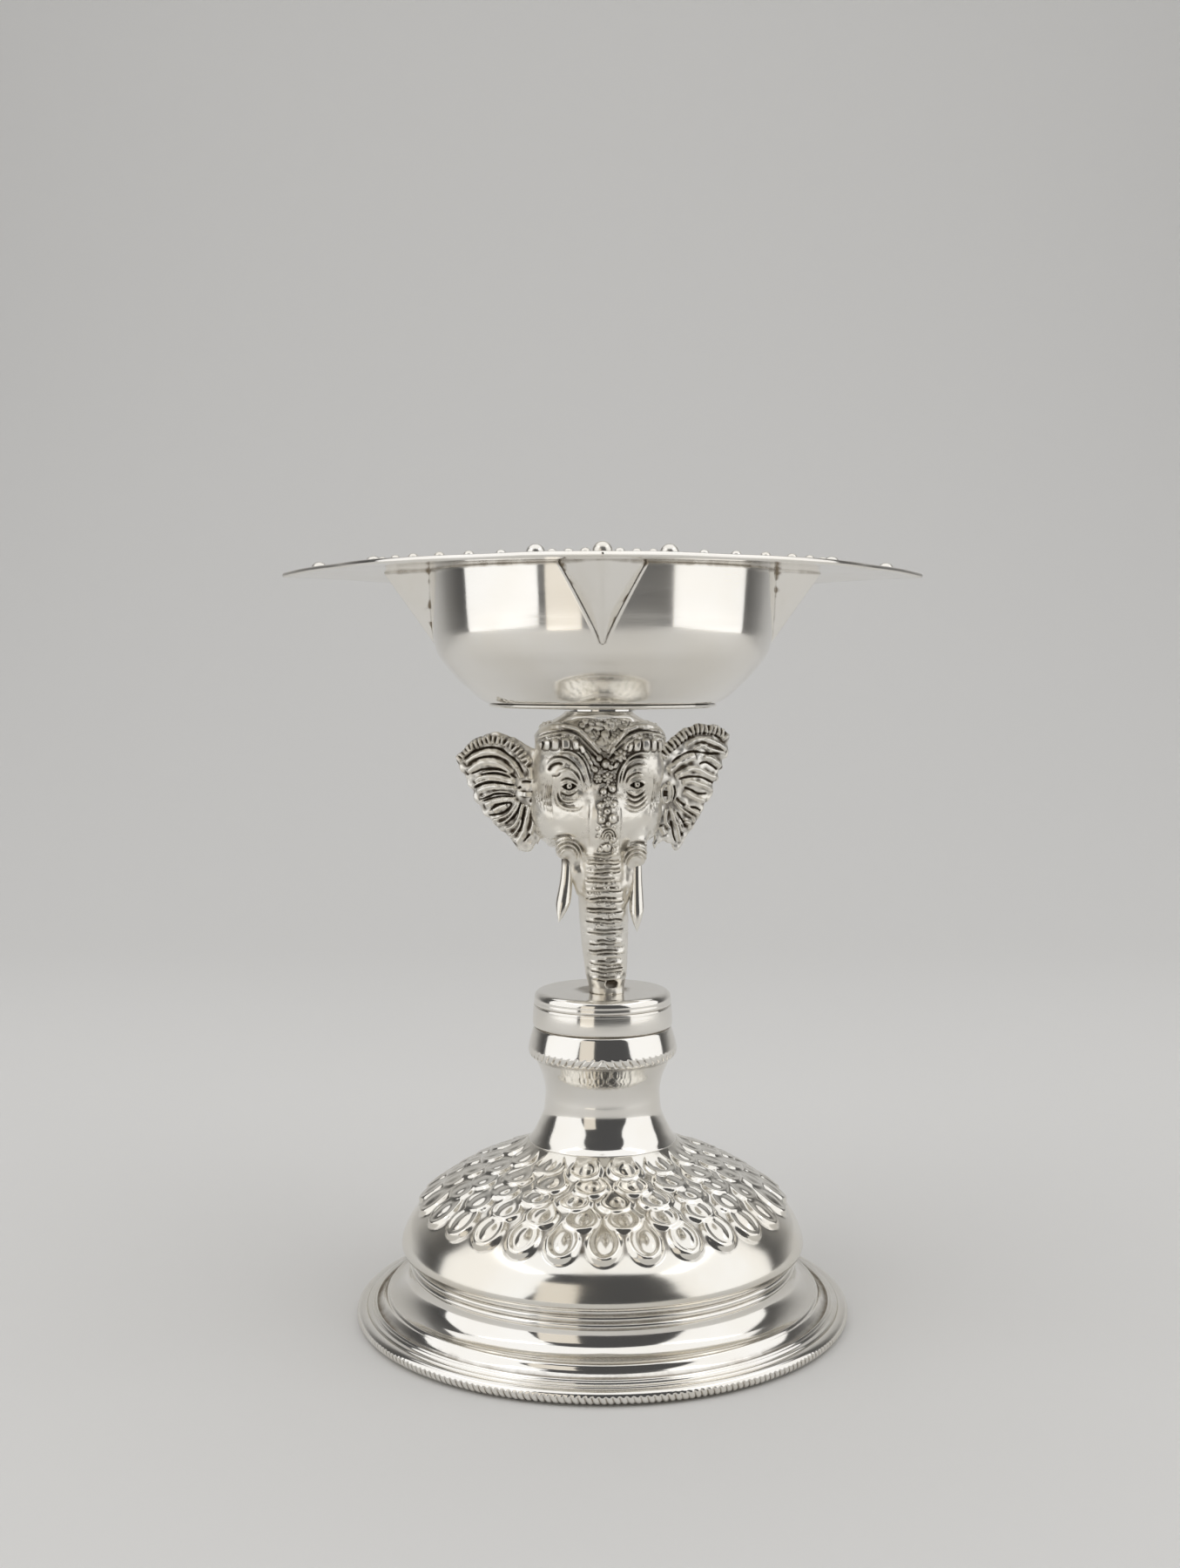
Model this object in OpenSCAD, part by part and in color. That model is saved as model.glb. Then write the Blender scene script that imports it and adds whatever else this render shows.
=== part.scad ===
/* [Foot] */
// Outer diameter over the rope edge
foot_d = 77; // [70:0.5:84]
// Height of the foot up to the reeded band
foot_h = 7.4; // [6.4:0.1:9]
// Height of the reeded band
reed_h = 3.2; // [2.4:0.1:4.2]
// Thickness of the rope edge
rope_d = 2; // [1.6:0.1:2.4]
// Sheet thickness of the base
base_wall = 1; // [0.8:0.05:1.3]

/* [Dome] */
// Widest diameter of the dome
dome_d = 63.2; // [59:0.2:67]
// Overhang of the dome past the reeded band
dome_lip = 1.8; // [1.2:0.1:2.4]
// Height of the dome up to the neck joint
dome_h = 16.3; // [13:0.1:20]
// Height of the raised scales
scale_relief = 0.8; // [0.3:0.05:1]
// Diameter of the joint between dome and neck
joint_d = 23.4; // [22:0.2:26]
// Narrowest diameter of the base neck
neck_d = 18.2; // [17:0.1:20]
// Height of the base neck
neck_h = 13; // [10:0.1:16]

/* [Collar] */
// Widest diameter of the gadroon collar
collar_d = 23.5; // [22:0.1:25]
// Draw-in of the gadroon collar at its top
collar_swell = 0.95; // [0.5:0.05:1.2]
// Height of the gadroon collar
collar_h = 4.9; // [4:0.1:6.5]
// Diameter of the collar cap
cap_d = 22.2; // [21:0.1:23]
// Height of the collar cap
cap_h = 5.5; // [4.6:0.1:7]
// Thickness of the cap top
cap_top = 1.2; // [1:0.1:1.6]
// Thickness of the cap wall
cap_wall = 1.1; // [0.9:0.1:1.4]
// Depth of the groove round the cap
cap_groove = 0.38; // [0.2:0.02:0.5]
// Rounding of the cap shoulder
cap_round = 0.9; // [0.5:0.1:1.1]

/* [Elephant] */
// Turn of the elephant away from the front spout, degrees
elephant_turn = 8; // [-20:1:20]
// Height of the trunk below the cheeks
trunk_h = 21.6; // [18:0.1:26]
// Height of the head
head_h = 19.3; // [17:0.1:22]
// Width of the head over the ear seats
head_w = 19.4; // [18.4:0.1:21]
// Sideways offset of the head from the axis
head_x = -0.95; // [-1.2:0.05:0.5]
// Sideways offset of the trunk foot from the axis
trunk_foot_x = 0.35; // [-0.5:0.05:0.8]
// Depth of the head from brow to nape
head_depth = 18; // [16.5:0.1:19]
// How far the trunk stands forward under the cheeks
trunk_out = 5.6; // [5:0.1:6.2]
// Width of the trunk at its middle
trunk_w = 7.4; // [6.8:0.1:7.8]
// Height of the trunk ribs
rib_relief = 0.35; // [0.1:0.05:0.5]
// Reach of an ear from its seat
ear_reach = 13.3; // [11:0.1:14.5]
// Sweep of the ears towards the back, degrees
ear_sweep = 20; // [5:1:35]
// Lift of the right ear, degrees
right_ear_lift = 8; // [0:1:10]
// Thickness of an ear
ear_t = 1.3; // [1:0.1:1.8]
// Thickness of the ribs on an ear
ear_rib_d = 0.6; // [0.4:0.05:0.8]
// Length of the left tusk
tusk_left_l = 9.7; // [8:0.1:11.5]
// Length of the right tusk
tusk_right_l = 11.4; // [9:0.1:13]
// Root diameter of a tusk
tusk_d = 2.2; // [1.7:0.1:2.3]
// Outward curve of the left tusk
tusk_left_spread = 1.6; // [0:0.1:2]
// Outward curve of the right tusk
tusk_right_spread = -0.2; // [-0.5:0.1:2]
// Forward curve of the left tusk
tusk_left_sweep = 2.4; // [1:0.1:3]
// Forward curve of the right tusk
tusk_right_sweep = 2.2; // [1:0.1:3]
// Widest diameter of the stem neck
stem_neck_d = 19.2; // [18:0.1:20.4]
// Height of the stem neck
stem_neck_h = 3.2; // [2.4:0.1:5]

/* [Bowl] */
// Diameter of the bowl at the rim
bowl_d = 55.2; // [52:0.2:58]
// Height of the bowl up to the rim plate
bowl_h = 20.8; // [18:0.1:24]
// Sheet thickness of the bowl
bowl_wall = 0.9; // [0.7:0.05:1.2]
// Diameter of the saucer plate
saucer_d = 36.2; // [34:0.2:38]
// Thickness of the saucer plate
saucer_t = 0.6; // [0.5:0.05:0.9]
// Reach of a wick spout from the axis
spout_reach = 35.5; // [34:0.1:37]
// Width of a wick spout where it leaves the bowl
spout_w = 11.6; // [10.4:0.1:13]
// Depth of a wick spout below the rim plate
spout_drop = 11.9; // [10:0.1:13.5]

/* [Rim] */
// Diameter of the round part of the rim
rim_d = 87; // [83:0.5:90]
// Diameter over the four points
tip_d = 101.6; // [97:0.2:106]
// Thickness of the rim plate
rim_t = 0.8; // [0.6:0.05:1.1]
// Diameter of the large beads
bead_d = 2.5; // [2.1:0.1:2.9]
// Diameter of the small beads
small_bead_d = 1.9; // [1.5:0.1:2.2]
// Distance of the tip beads from the points
tip_bead_inset = 5.9; // [5:0.1:6.5]
// Distance of the side beads past the spout reach
side_bead_out = 0.8; // [0.4:0.1:1.4]
// Distance of the small beads from the round rim
bead_inset = 5.2; // [4.4:0.1:6]
// Inward sag of the rows of small beads at their ends
bead_sag = 1.2; // [0.4:0.1:1.8]

/* [Threads] */
// Diameter of the bowl stud
stud_d = 6; // [5:0.1:6.4]
// Length of the bowl stud below the saucer
stud_l = 4.7; // [4.5:0.1:6]
// Running clearance of the bowl stud on the radius
stud_gap = 0.05; // [0.03:0.01:0.08]
// Thickness of the seat washer
washer_t = 0.45; // [0.3:0.05:0.8]
// Outer diameter of the seat washer
seat_washer_d = 10.4; // [9.6:0.1:10.6]
// Clearance above and below the seat washer
washer_gap = 0.05; // [0.03:0.01:0.1]
// Diameter of the trunk stud
trunk_stud_d = 3; // [2.6:0.1:3.2]
// Width of the stem nut across its flats
nut_flats = 5.5; // [5.2:0.1:6]
// Thickness of the stem nut
nut_t = 2.4; // [1.8:0.1:2.8]
// Diameter of the stem washer
stem_washer_d = 7.5; // [7:0.1:9]
// Thickness of the stem washer
stem_washer_t = 0.8; // [0.5:0.1:1.2]

/* [Hidden] */
$fn = 96;

rope_in = foot_d / 2 - 0.8 * rope_d;
rope_lift = 0.1 * rope_d;
foot_top_r = dome_d / 2 - dome_lip;
foot_in_r = foot_top_r - base_wall;
skirt_in = rope_in - 1.2 * base_wall;
reed_r = reed_h / 6;
z_reed = foot_h;
z_dome = z_reed + reed_h;
z_neck = z_dome + dome_h;
z_collar = z_neck + neck_h;
z_cap = z_collar + collar_h;
z_trunk = z_cap + cap_h;
z_washer = z_trunk - cap_top - stem_washer_t;
z_cheek = z_trunk + trunk_h;
z_crown = z_cheek + head_h;
z_seat = z_crown + stem_neck_h;
z_saucer = z_seat + washer_t + 2 * washer_gap;
z_bowl = z_saucer + saucer_t;
z_rim = z_bowl + bowl_h;
z_bead = z_rim + rim_t;
dome_r = dome_d / 2;
joint_r = joint_d / 2;
neck_r = neck_d / 2;
collar_r = collar_d / 2;
cap_r = cap_d / 2;
cap_in = cap_r - cap_wall;
bowl_r = bowl_d / 2;
spout_sink = 2 * bowl_wall;
rim_r = rim_d / 2;
tip_r = tip_d / 2;
stud_r = trunk_stud_d / 2;
hole_gap = 0.12;
thread_gap = 0.04;
end_gap = 0.3;
over = 1;
stud_hole_r = stud_r + hole_gap;
stud_sink = 5;
tenon_r = 4.4;
tenon_l = 5.6;
tenon_hole_r = tenon_r + hole_gap;
bore_r = stud_d / 2 + stud_gap;
washer_play = 0.25;
bore_end = 1;
bore_l = stud_l + bore_end;
ear_seat_x = head_w / 2;
ear_hub_z = z_cheek + 0.485 * head_h;
tusk_x = 0.278 * head_w;
tusk_y = -0.328 * head_depth;
small_gap = 0.02;
tusk_top = z_cheek - small_gap;
ear_count = 8;
cols = 28;

function lerp(a, b, t) = a + (b - a) * t;
function bump(x, w) = exp(-x * x / (w * w));
function spow(x, e) = x < 0 ? -pow(-x, e) : pow(x, e);
function ease(a, b, p, q, t) = 0.5 * (2 * a + (b - p) * t + (2 * p - 5 * a + 4 * b - q) * t * t
    + (3 * a - p - 3 * b + q) * t * t * t);
function at(p, i) = p[max(0, min(len(p) - 1, i))];
function spline(p, n) = concat([for (i = [0 : len(p) - 2]) for (k = [0 : n - 1])
    ease(p[i], p[i + 1], at(p, i - 1), at(p, i + 2), k / n)], [p[len(p) - 1]]);
function turn(v) = [v[1], -v[0]] / norm(v);
function inset(p, w) = [for (i = [0 : len(p) - 1]) p[i] + w * turn(at(p, i + 1) - at(p, i - 1))];
function flip(p) = [for (i = [len(p) - 1 : -1 : 0]) p[i]];

// Outer line of the foot, as shares of its width and height
foot_line = [[1, 0], [1, 0.27], [0.97, 0.31], [0.93, 0.315], [0.895, 0.355], [0.865, 0.375], [0.835, 0.375],
    [0.805, 0.355], [0.785, 0.325], [0.72, 0.34], [0.64, 0.39], [0.585, 0.46], [0.565, 0.51], [0.545, 0.535],
    [0.52, 0.54], [0.495, 0.525], [0.33, 0.555], [0.2, 0.62], [0.09, 0.72], [0.025, 0.85], [0, 1]];
// Outer line of the dome from the neck joint down, as shares
dome_line = [[0, 1], [0.095, 0.896], [0.226, 0.828], [0.372, 0.761], [0.523, 0.675], [0.683, 0.552],
    [0.809, 0.429], [0.92, 0.282], [0.98, 0.141], [1, 0.05], [0.985, 0]];
// Outer line of the base neck from the dome up, as shares
neck_line = [[1, 0], [0.54, 0.16], [0.1, 0.33], [0, 0.515], [0.06, 0.74], [0.385, 1]];
// Outer line of the bowl from its flat bottom up, as shares
bowl_line = [[0.6, 0], [0.685, 0.024], [0.812, 0.168], [0.891, 0.284], [0.942, 0.375], [0.967, 0.49],
    [0.978, 0.625], [0.989, 0.817], [1, 1]];
// Ear outline from the top of the seat, as shares of the reach
ear_line = [[-0.05, 0.5], [0.31, 0.67], [0.53, 0.76], [0.76, 0.69], [0.96, 0.53], [1, 0.41], [0.89, 0.22],
    [0.75, -0.06], [0.59, -0.28], [0.38, -0.5], [0.22, -0.64], [0.09, -0.69], [-0.05, -0.6]];

// Rows of scales from the neck down: their tips as shares of the dome's width, their numbers and their turns
scale_edge = [0.02, 0.2, 0.38, 0.525, 0.675, 0.864];
scale_rows = [14, 17, 21, 24, 28];
scale_turn = [0.56, 0.72, 0.31, 0.5, 0.03];
// Outline of a scale from its top round the tip, as shares of the pitch and of its length
scale_line = [[0.17, 0], [0.36, 0.4], [0.435, 0.6], [0.38, 0.8], [0.2, 0.96], [-0.2, 0.96], [-0.38, 0.8],
    [-0.435, 0.6], [-0.36, 0.4], [-0.17, 0]];

neck_top_r = lerp(neck_r, joint_r, neck_line[len(neck_line) - 1][0]);
collar_in = neck_top_r - 0.8 * base_wall;

function foot_pt(p) = [lerp(foot_top_r, rope_in, p[0]), p[1] * foot_h];
function dome_pt(p) = [lerp(joint_r, dome_r, p[0]), z_dome + p[1] * dome_h];
function neck_pt(p) = [lerp(neck_r, joint_r, p[0]), z_neck + p[1] * neck_h];
function bowl_pt(p) = [bowl_r * p[0], z_bowl + p[1] * bowl_h];

module ring_loft(rows) {
    m = len(rows);
    n = len(rows[0]);
    polyhedron([for (r = rows) each r], [for (i = [0 : m - 1]) for (j = [0 : n - 1])
        let (a = i * n, b = (i + 1) % m * n, k = (j + 1) % n)
        each [[a + j, b + j, b + k], [a + j, b + k, a + k]]]);
}

module loft(rows) {
    m = len(rows);
    n = len(rows[0]);
    sides = [for (i = [0 : m - 2]) for (j = [0 : n - 1])
        let (a = i * n + j, b = (i + 1) * n + j, c = (i + 1) * n + (j + 1) % n, d = i * n + (j + 1) % n)
        each [[a, b, c], [a, c, d]]];
    polyhedron([for (r = rows) each r], concat([[for (j = [0 : n - 1]) j]], sides,
        [[for (j = [n - 1 : -1 : 0]) (m - 1) * n + j]]));
}

module foot_shell() {
    line = [for (p = foot_line) foot_pt(p)];
    inner = [[foot_in_r, foot_h], [foot_in_r, 0.84 * foot_h],
        [lerp(foot_top_r, rope_in, 0.09) - 0.85 * base_wall, 0.69 * foot_h - 0.35 * base_wall],
        [lerp(foot_top_r, rope_in, 0.2) - 0.5 * base_wall, 0.62 * foot_h - 0.8 * base_wall],
        [lerp(foot_top_r, rope_in, 0.48), 0.53 * foot_h - base_wall],
        [lerp(foot_top_r, rope_in, 0.66), 0.35 * foot_h - base_wall],
        [skirt_in, 0.32 * foot_h - base_wall], [skirt_in, 0]];
    color("silver") rotate_extrude() polygon(concat(line, inner));
}

module foot_rope_edge() {
    color("silver") rotate_extrude() intersection() {
        translate([foot_d / 2 - rope_d / 2, rope_lift + rope_d / 2]) circle(d = rope_d);
        translate([rope_in, 0]) square([rope_d, 2 * rope_d]);
    }
}

module reeded_band() {
    color("silver") rotate_extrude() translate([0, z_reed]) {
        translate([foot_in_r, 0]) square([base_wall, reed_h]);
        for (k = [0 : 2])
            translate([foot_top_r - 0.1 * reed_r, (2 * k + 1) * reed_r]) circle(r = reed_r);
    }
}

dome_table = [for (p = spline(dome_line, 3)) if (p[1] > 0.06) p];

// Place on the dome at a share of its width and an angle, raised by h
function dome_on(p, a, h) = let (q = dome_pt([p, lookup(p, dome_table)]),
    d = dome_pt([p + 0.01, lookup(p + 0.01, dome_table)]) - q, r = q - h * turn(d))
    [r[0] * cos(a), r[0] * sin(a), r[1]];

module scale_tile(row, mid) {
    tip = scale_edge[row + 1];
    top = scale_edge[row] - 0.5 * (tip - scale_edge[row]);
    pitch = 360 / scale_rows[row];
    tall = scale_relief * (row < 4 ? 1 : 1.3);
    sunk = -0.5 * base_wall;
    n = len(scale_line);
    places = [for (p = scale_line)
        [max(0.03, lerp(top, tip, p[1])), mid + pitch * p[0], lerp(0.35, 1, p[1])]];
    low = [for (p = places) dome_on(p[0], p[1], sunk)];
    high = [for (p = places) dome_on(p[0], p[1], tall * p[2])];
    ends = [dome_on(lerp(top, tip, 0.58), mid, sunk), dome_on(lerp(top, tip, 0.58), mid, 0.55 * tall)];
    polyhedron(concat(low, high, ends), [for (j = [0 : n - 1]) let (k = (j + 1) % n)
        each [[j, k, n + k], [j, n + k, n + j], [k, j, 2 * n], [n + j, n + k, 2 * n + 1]]]);
}

module dome_shell() {
    line = spline([for (p = dome_line) dome_pt(p)], 2);
    core = inset(line, base_wall);
    inner = [for (i = [0 : 4 : len(core) - 5]) [core[i][0], i == 0 ? z_neck : core[i][1]]];
    lip = [for (z = [z_dome + base_wall, z_dome]) [foot_in_r + 0.1 * base_wall, z]];
    color("silver") {
        rotate_extrude() polygon(concat(flip(line), inner, lip));
        for (row = [0 : 4])
            for (k = [0 : scale_rows[row] - 1])
                scale_tile(row, (k + scale_turn[row]) / scale_rows[row] * 360 - 90);
    }
}

module base_neck() {
    line = spline([for (p = neck_line) neck_pt(p)], 5);
    core = inset(flip(line), base_wall);
    last = len(core) - 1;
    inner = [for (i = [0 : last]) [core[i][0], i == 0 ? z_collar : i == last ? z_neck : core[i][1]]];
    color("silver") rotate_extrude() polygon(concat(line, inner));
}

module gadroon_collar() {
    line = spline([[0.74, 0], [0.16, 0.13], [0, 0.29], [0.26, 0.55], [0.68, 0.84], [1, 1]], 4);
    color("silver") rotate_extrude() polygon(concat(
        [for (p = line) [collar_r - p[0] * collar_swell, z_collar + p[1] * collar_h]],
        [[collar_in, z_cap], [collar_in, z_collar]]));
}

module at_trunk(z) {
    rotate(elephant_turn) translate([trunk_foot_x, stud_y, z]) children();
}

module collar_cap() {
    g = cap_groove;
    color("silver") difference() {
        translate([0, 0, z_cap]) rotate_extrude() difference() {
            polygon(concat([[0, 0], [cap_r - 0.66 * g, 0], [cap_r, 0.92 * g]],
                [for (p = [[0.53, 0.58], [1, 0.62], [0.66, 0.66]]) [cap_r - p[0] * g, p[1] * cap_h]],
                [for (a = [0 : 15 : 90])
                    [cap_r - 0.92 * g - cap_round * (1 - cos(a)), cap_h - cap_round * (1 - sin(a))]],
                [[0, cap_h]]));
            translate([-over, -over]) square([cap_in + over, cap_h - cap_top + over]);
        }
        at_trunk(z_cap) cylinder(r = stud_hole_r, h = 2 * cap_h);
    }
}

module stem_washer() {
    color("goldenrod") at_trunk(z_washer) difference() {
        cylinder(d = stem_washer_d, h = stem_washer_t);
        translate([0, 0, -over]) cylinder(r = stud_hole_r, h = stem_washer_t + 2 * over);
    }
}

module stem_nut() {
    color("goldenrod") at_trunk(z_washer - nut_t) difference() {
        cylinder(d = nut_flats / cos(30), h = nut_t, $fn = 6);
        translate([0, 0, -over]) cylinder(r = stud_r + thread_gap, h = nut_t + 2 * over);
    }
}

module trunk_stud() {
    low = z_washer - nut_t - 0.2 * trunk_stud_d;
    color("goldenrod") at_trunk(low)
        cylinder(r = stud_r, h = z_trunk + stud_sink - low);
}

// Trunk stations as shares: height, middle line, half width, front and back depth
trunk_line = [[0, -0.357, 0.37, 0.351, 0.351], [0.25, -0.536, 0.47, 0.405, 0.419],
    [0.6, -0.821, 0.515, 0.446, 0.486], [1, -1, 0.485, 0.486, 0.541]];
// Head stations as shares: height, half width, front and back depth, ridge
head_line = [[0, 0.397, 0.511, 0.306, 0.039], [0.1, 0.459, 0.533, 0.356, 0.05],
    [0.3, 0.515, 0.533, 0.433, 0.067], [0.55, 0.531, 0.511, 0.467, 0.061], [0.8, 0.531, 0.5, 0.478, 0.033],
    [0.93, 0.515, 0.483, 0.478, 0.006], [1, 0.485, 0.467, 0.467, 0]];
stud_y = trunk_line[0][1] * trunk_out;

function section(z, cx, cy, a, f, b, e, ridge) = [for (j = [0 : cols - 1]) let (t = 360 * j / cols,
    x = a * spow(cos(t), 2 / e), y = (sin(t) < 0 ? f : b) * spow(sin(t), 2 / e))
    [cx + x, cy + y - (sin(t) < 0 ? ridge * bump(x, 0.134 * head_w) : 0), z]];
function circle_row(r, cx, cy, z) = [for (j = [0 : cols - 1]) let (t = 360 * j / cols)
    [cx + r * cos(t), cy + r * sin(t), z]];
function seat(row) = [for (p = row) [max(head_x - ear_seat_x, min(head_x + ear_seat_x, p[0])), p[1], p[2]]];

module elephant_casting() {
    ts = spline(trunk_line, 13);
    hs = spline(head_line, 4);
    trunk = [for (s = ts) let (rib = s[0] > 0.02 && s[0] < 0.97 ? rib_relief * abs(sin(180 * 13 * s[0])) : 0)
        section(z_trunk + s[0] * trunk_h, lerp(trunk_foot_x, head_x, s[0]), s[1] * trunk_out,
            s[2] * trunk_w + 0.4 * rib, s[3] * trunk_w + rib, s[4] * trunk_w, 2.2, 0)];
    head = [for (s = hs) seat(section(z_cheek + s[0] * head_h, head_x, 0, s[1] * head_w, s[2] * head_depth,
        s[3] * head_depth, 2.6, s[4] * head_depth))];
    low = [for (z = [stud_sink + end_gap, 0]) circle_row(stud_hole_r, trunk_foot_x, stud_y, z_trunk + z)];
    high = [for (z = [0, tenon_l + end_gap]) circle_row(tenon_hole_r, 0, 0, z_crown - z)];
    color("silver") rotate(elephant_turn) loft(concat(low, trunk, head, high));
}

module ear(side, lift) {
    line = spline([for (p = ear_line) p * ear_reach], 3);
    clip = 4 * ear_reach;
    color("silver") rotate(elephant_turn) intersection() {
        translate([head_x + side * ear_seat_x, 0, ear_hub_z]) rotate([0, -side * lift, side * ear_sweep])
            rotate([90, 0, 0]) {
                linear_extrude(height = ear_t, center = true)
                    polygon(side > 0 ? line : [for (p = flip(line)) [-p[0], p[1]]]);
                for (k = [0 : ear_count - 1]) {
                    long = k < 4 ? 0.86 - 0.08 * k : 0.62;
                    translate([side * 0.06 * ear_reach, 0, ear_t / 2])
                        rotate([0, 0, side > 0 ? 46 - 15 * k : 134 + 15 * k])
                            rotate([0, 90, 0]) cylinder(d = ear_rib_d, h = long * ear_reach);
                }
            }
        translate([head_x + side * (ear_seat_x + small_gap + clip / 2), 0, ear_hub_z])
            cube(clip, center = true);
    }
}

module left_ear() {
    ear(-1, 0);
}

module right_ear() {
    ear(1, right_ear_lift);
}

module tusk(side, long, spread, sweep) {
    rows = [for (k = [0 : 14]) let (t = k / 14, e = max(0, t / 0.3 - 7 / 3),
        r = tusk_d / 2 * (0.86 - 0.06 * t) * sqrt(1 - 0.94 * pow(e, 2.4)),
        x = side * (tusk_x + spread * t * t) + head_x, y = tusk_y - sweep * t * t)
        [for (j = [0 : 15]) let (a = 22.5 * j) [x + r * cos(a), y + r * sin(a), tusk_top - long * t]]];
    color("silver") rotate(elephant_turn) loft(flip(rows));
}

module left_tusk() {
    tusk(-1, tusk_left_l, tusk_left_spread, tusk_left_sweep);
}

module right_tusk() {
    tusk(1, tusk_right_l, tusk_right_spread, tusk_right_sweep);
}

module stem_neck() {
    line = spline([[0.979, 0], [1, 0.12], [0.958, 0.26], [0.792, 0.52], [0.656, 0.74], [0.578, 0.92],
        [0.557, 1]], 4);
    color("silver") rotate_extrude() polygon(concat([[tenon_r, z_crown - tenon_l], [tenon_r, z_crown]],
        [for (p = line) [p[0] * stem_neck_d / 2, z_crown + p[1] * stem_neck_h]],
        [[bore_r, z_seat], [bore_r, z_seat - bore_l], [0, z_seat - bore_l], [0, z_crown - tenon_l]]));
}

module seat_washer() {
    color("goldenrod") translate([0, 0, z_seat + washer_gap]) difference() {
        cylinder(d = seat_washer_d, h = washer_t);
        translate([0, 0, -over]) cylinder(r = bore_r + washer_play, h = washer_t + 2 * over);
    }
}

module bowl_stud() {
    color("goldenrod") translate([0, 0, z_saucer - stud_l]) cylinder(d = stud_d, h = stud_l);
}

module saucer_plate() {
    t = saucer_t;
    r = saucer_d / 2;
    color("silver") translate([0, 0, z_saucer]) rotate_extrude()
        polygon([[0, 0], [r - 2 * t, 0], [r - 0.67 * t, 0.2 * t], [r, 0.67 * t], [r - 0.17 * t, 1.08 * t],
            [r - 0.75 * t, t], [0, t]]);
}

module bowl_solid() {
    line = spline([for (p = bowl_line) bowl_pt(p)], 4);
    rotate_extrude() polygon(concat([[0, z_bowl]], line, [[0, z_rim]]));
}

module spout_wedge(top, shift, r_low) {
    slope = (spout_reach - 0.97 * bowl_r) / spout_drop;
    side = (spout_w / 2) / (spout_reach - bowl_r);
    r_top = spout_reach + slope * (top - shift - z_rim);
    z_low = top - (r_top - r_low) / slope;
    w = side * (r_top - r_low);
    polyhedron([[r_low, -w, top], [r_low, w, top], [r_top, 0, top], [r_low, 0, z_low]],
        [[0, 1, 2], [0, 3, 1], [1, 3, 2], [2, 3, 0]]);
}

module spout_hollows() {
    for (a = [0 : 90 : 270])
        rotate(a) spout_wedge(z_bead + over, spout_sink, 0.8 * bowl_r);
}

module bowl_shell() {
    line = spline([for (p = bowl_line) bowl_pt(p)], 4);
    core = inset(flip(line), bowl_wall);
    last = len(core) - 1;
    inner = [for (i = [0 : last]) [core[i][0], i == 0 ? z_rim : i == last ? z_bowl + bowl_wall : core[i][1]]];
    color("silver") difference() {
        rotate_extrude() polygon(concat([[0, z_bowl]], line, inner, [[0, z_bowl + bowl_wall]]));
        spout_hollows();
    }
}

module wick_spouts() {
    color("silver") for (a = [0 : 90 : 270])
        rotate(a) difference() {
            spout_wedge(z_rim, 0, 0.945 * bowl_r);
            spout_wedge(z_bead + over, spout_sink, 0.8 * bowl_r);
            bowl_solid();
        }
}

function rim_at(a) = let (d = abs(a - 90 * round(a / 90)), t = max(0, 1 - d / 27))
    rim_r + (tip_r - rim_r) * pow(t, 1.7);

module rim_plate() {
    color("silver") difference() {
        translate([0, 0, z_rim]) linear_extrude(height = rim_t) difference() {
            polygon([for (k = [0 : 179]) let (a = 2 * k) rim_at(a) * [cos(a), sin(a)]]);
            circle(r = bowl_r - bowl_wall);
        }
        spout_hollows();
    }
}

module dome_bead(d, tall) {
    r = d / 2;
    translate([0, 0, z_bead]) intersection() {
        translate([0, 0, tall - r]) sphere(r = r);
        translate([-r, -r, 0]) cube([d, d, d]);
    }
}

tip_bead_r = tip_r - tip_bead_inset;
side_bead_r = spout_reach + side_bead_out;
side_bead_a = 14.8;

module rim_large_beads() {
    color("silver") for (a = [0 : 90 : 270]) {
        rotate(a) translate([tip_bead_r, 0, 0]) dome_bead(bead_d, 0.6 * bead_d);
        for (s = [-1, 1])
            rotate(a + s * side_bead_a) translate([side_bead_r, 0, 0]) dome_bead(bead_d, 0.6 * bead_d);
    }
}

module rim_small_beads() {
    tip = [tip_bead_r, 0];
    color("silver") for (a = [0 : 90 : 270]) {
        for (s = [-1, 1])
            for (k = [1 : 3])
                rotate(a) translate(lerp(tip, side_bead_r * [cos(side_bead_a), s * sin(side_bead_a)], k / 4))
                    dome_bead(small_bead_d, 0.45 * small_bead_d);
        for (k = [1 : 7])
            rotate(a + side_bead_a + (90 - 2 * side_bead_a) * k / 8)
                translate([rim_r - bead_inset - bead_sag * abs(k - 4) / 3, 0, 0])
                    dome_bead(small_bead_d, 0.45 * small_bead_d);
    }
}

foot_shell();
foot_rope_edge();
reeded_band();
dome_shell();
base_neck();
gadroon_collar();
collar_cap();
stem_washer();
stem_nut();
trunk_stud();
elephant_casting();
left_ear();
right_ear();
left_tusk();
right_tusk();
stem_neck();
seat_washer();
bowl_stud();
saucer_plate();
bowl_shell();
wick_spouts();
rim_plate();
rim_large_beads();
rim_small_beads();
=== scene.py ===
"""Looks of the stemmed diya: a finer piece for each shown CAD node, metal finishes and a plain studio."""

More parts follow.
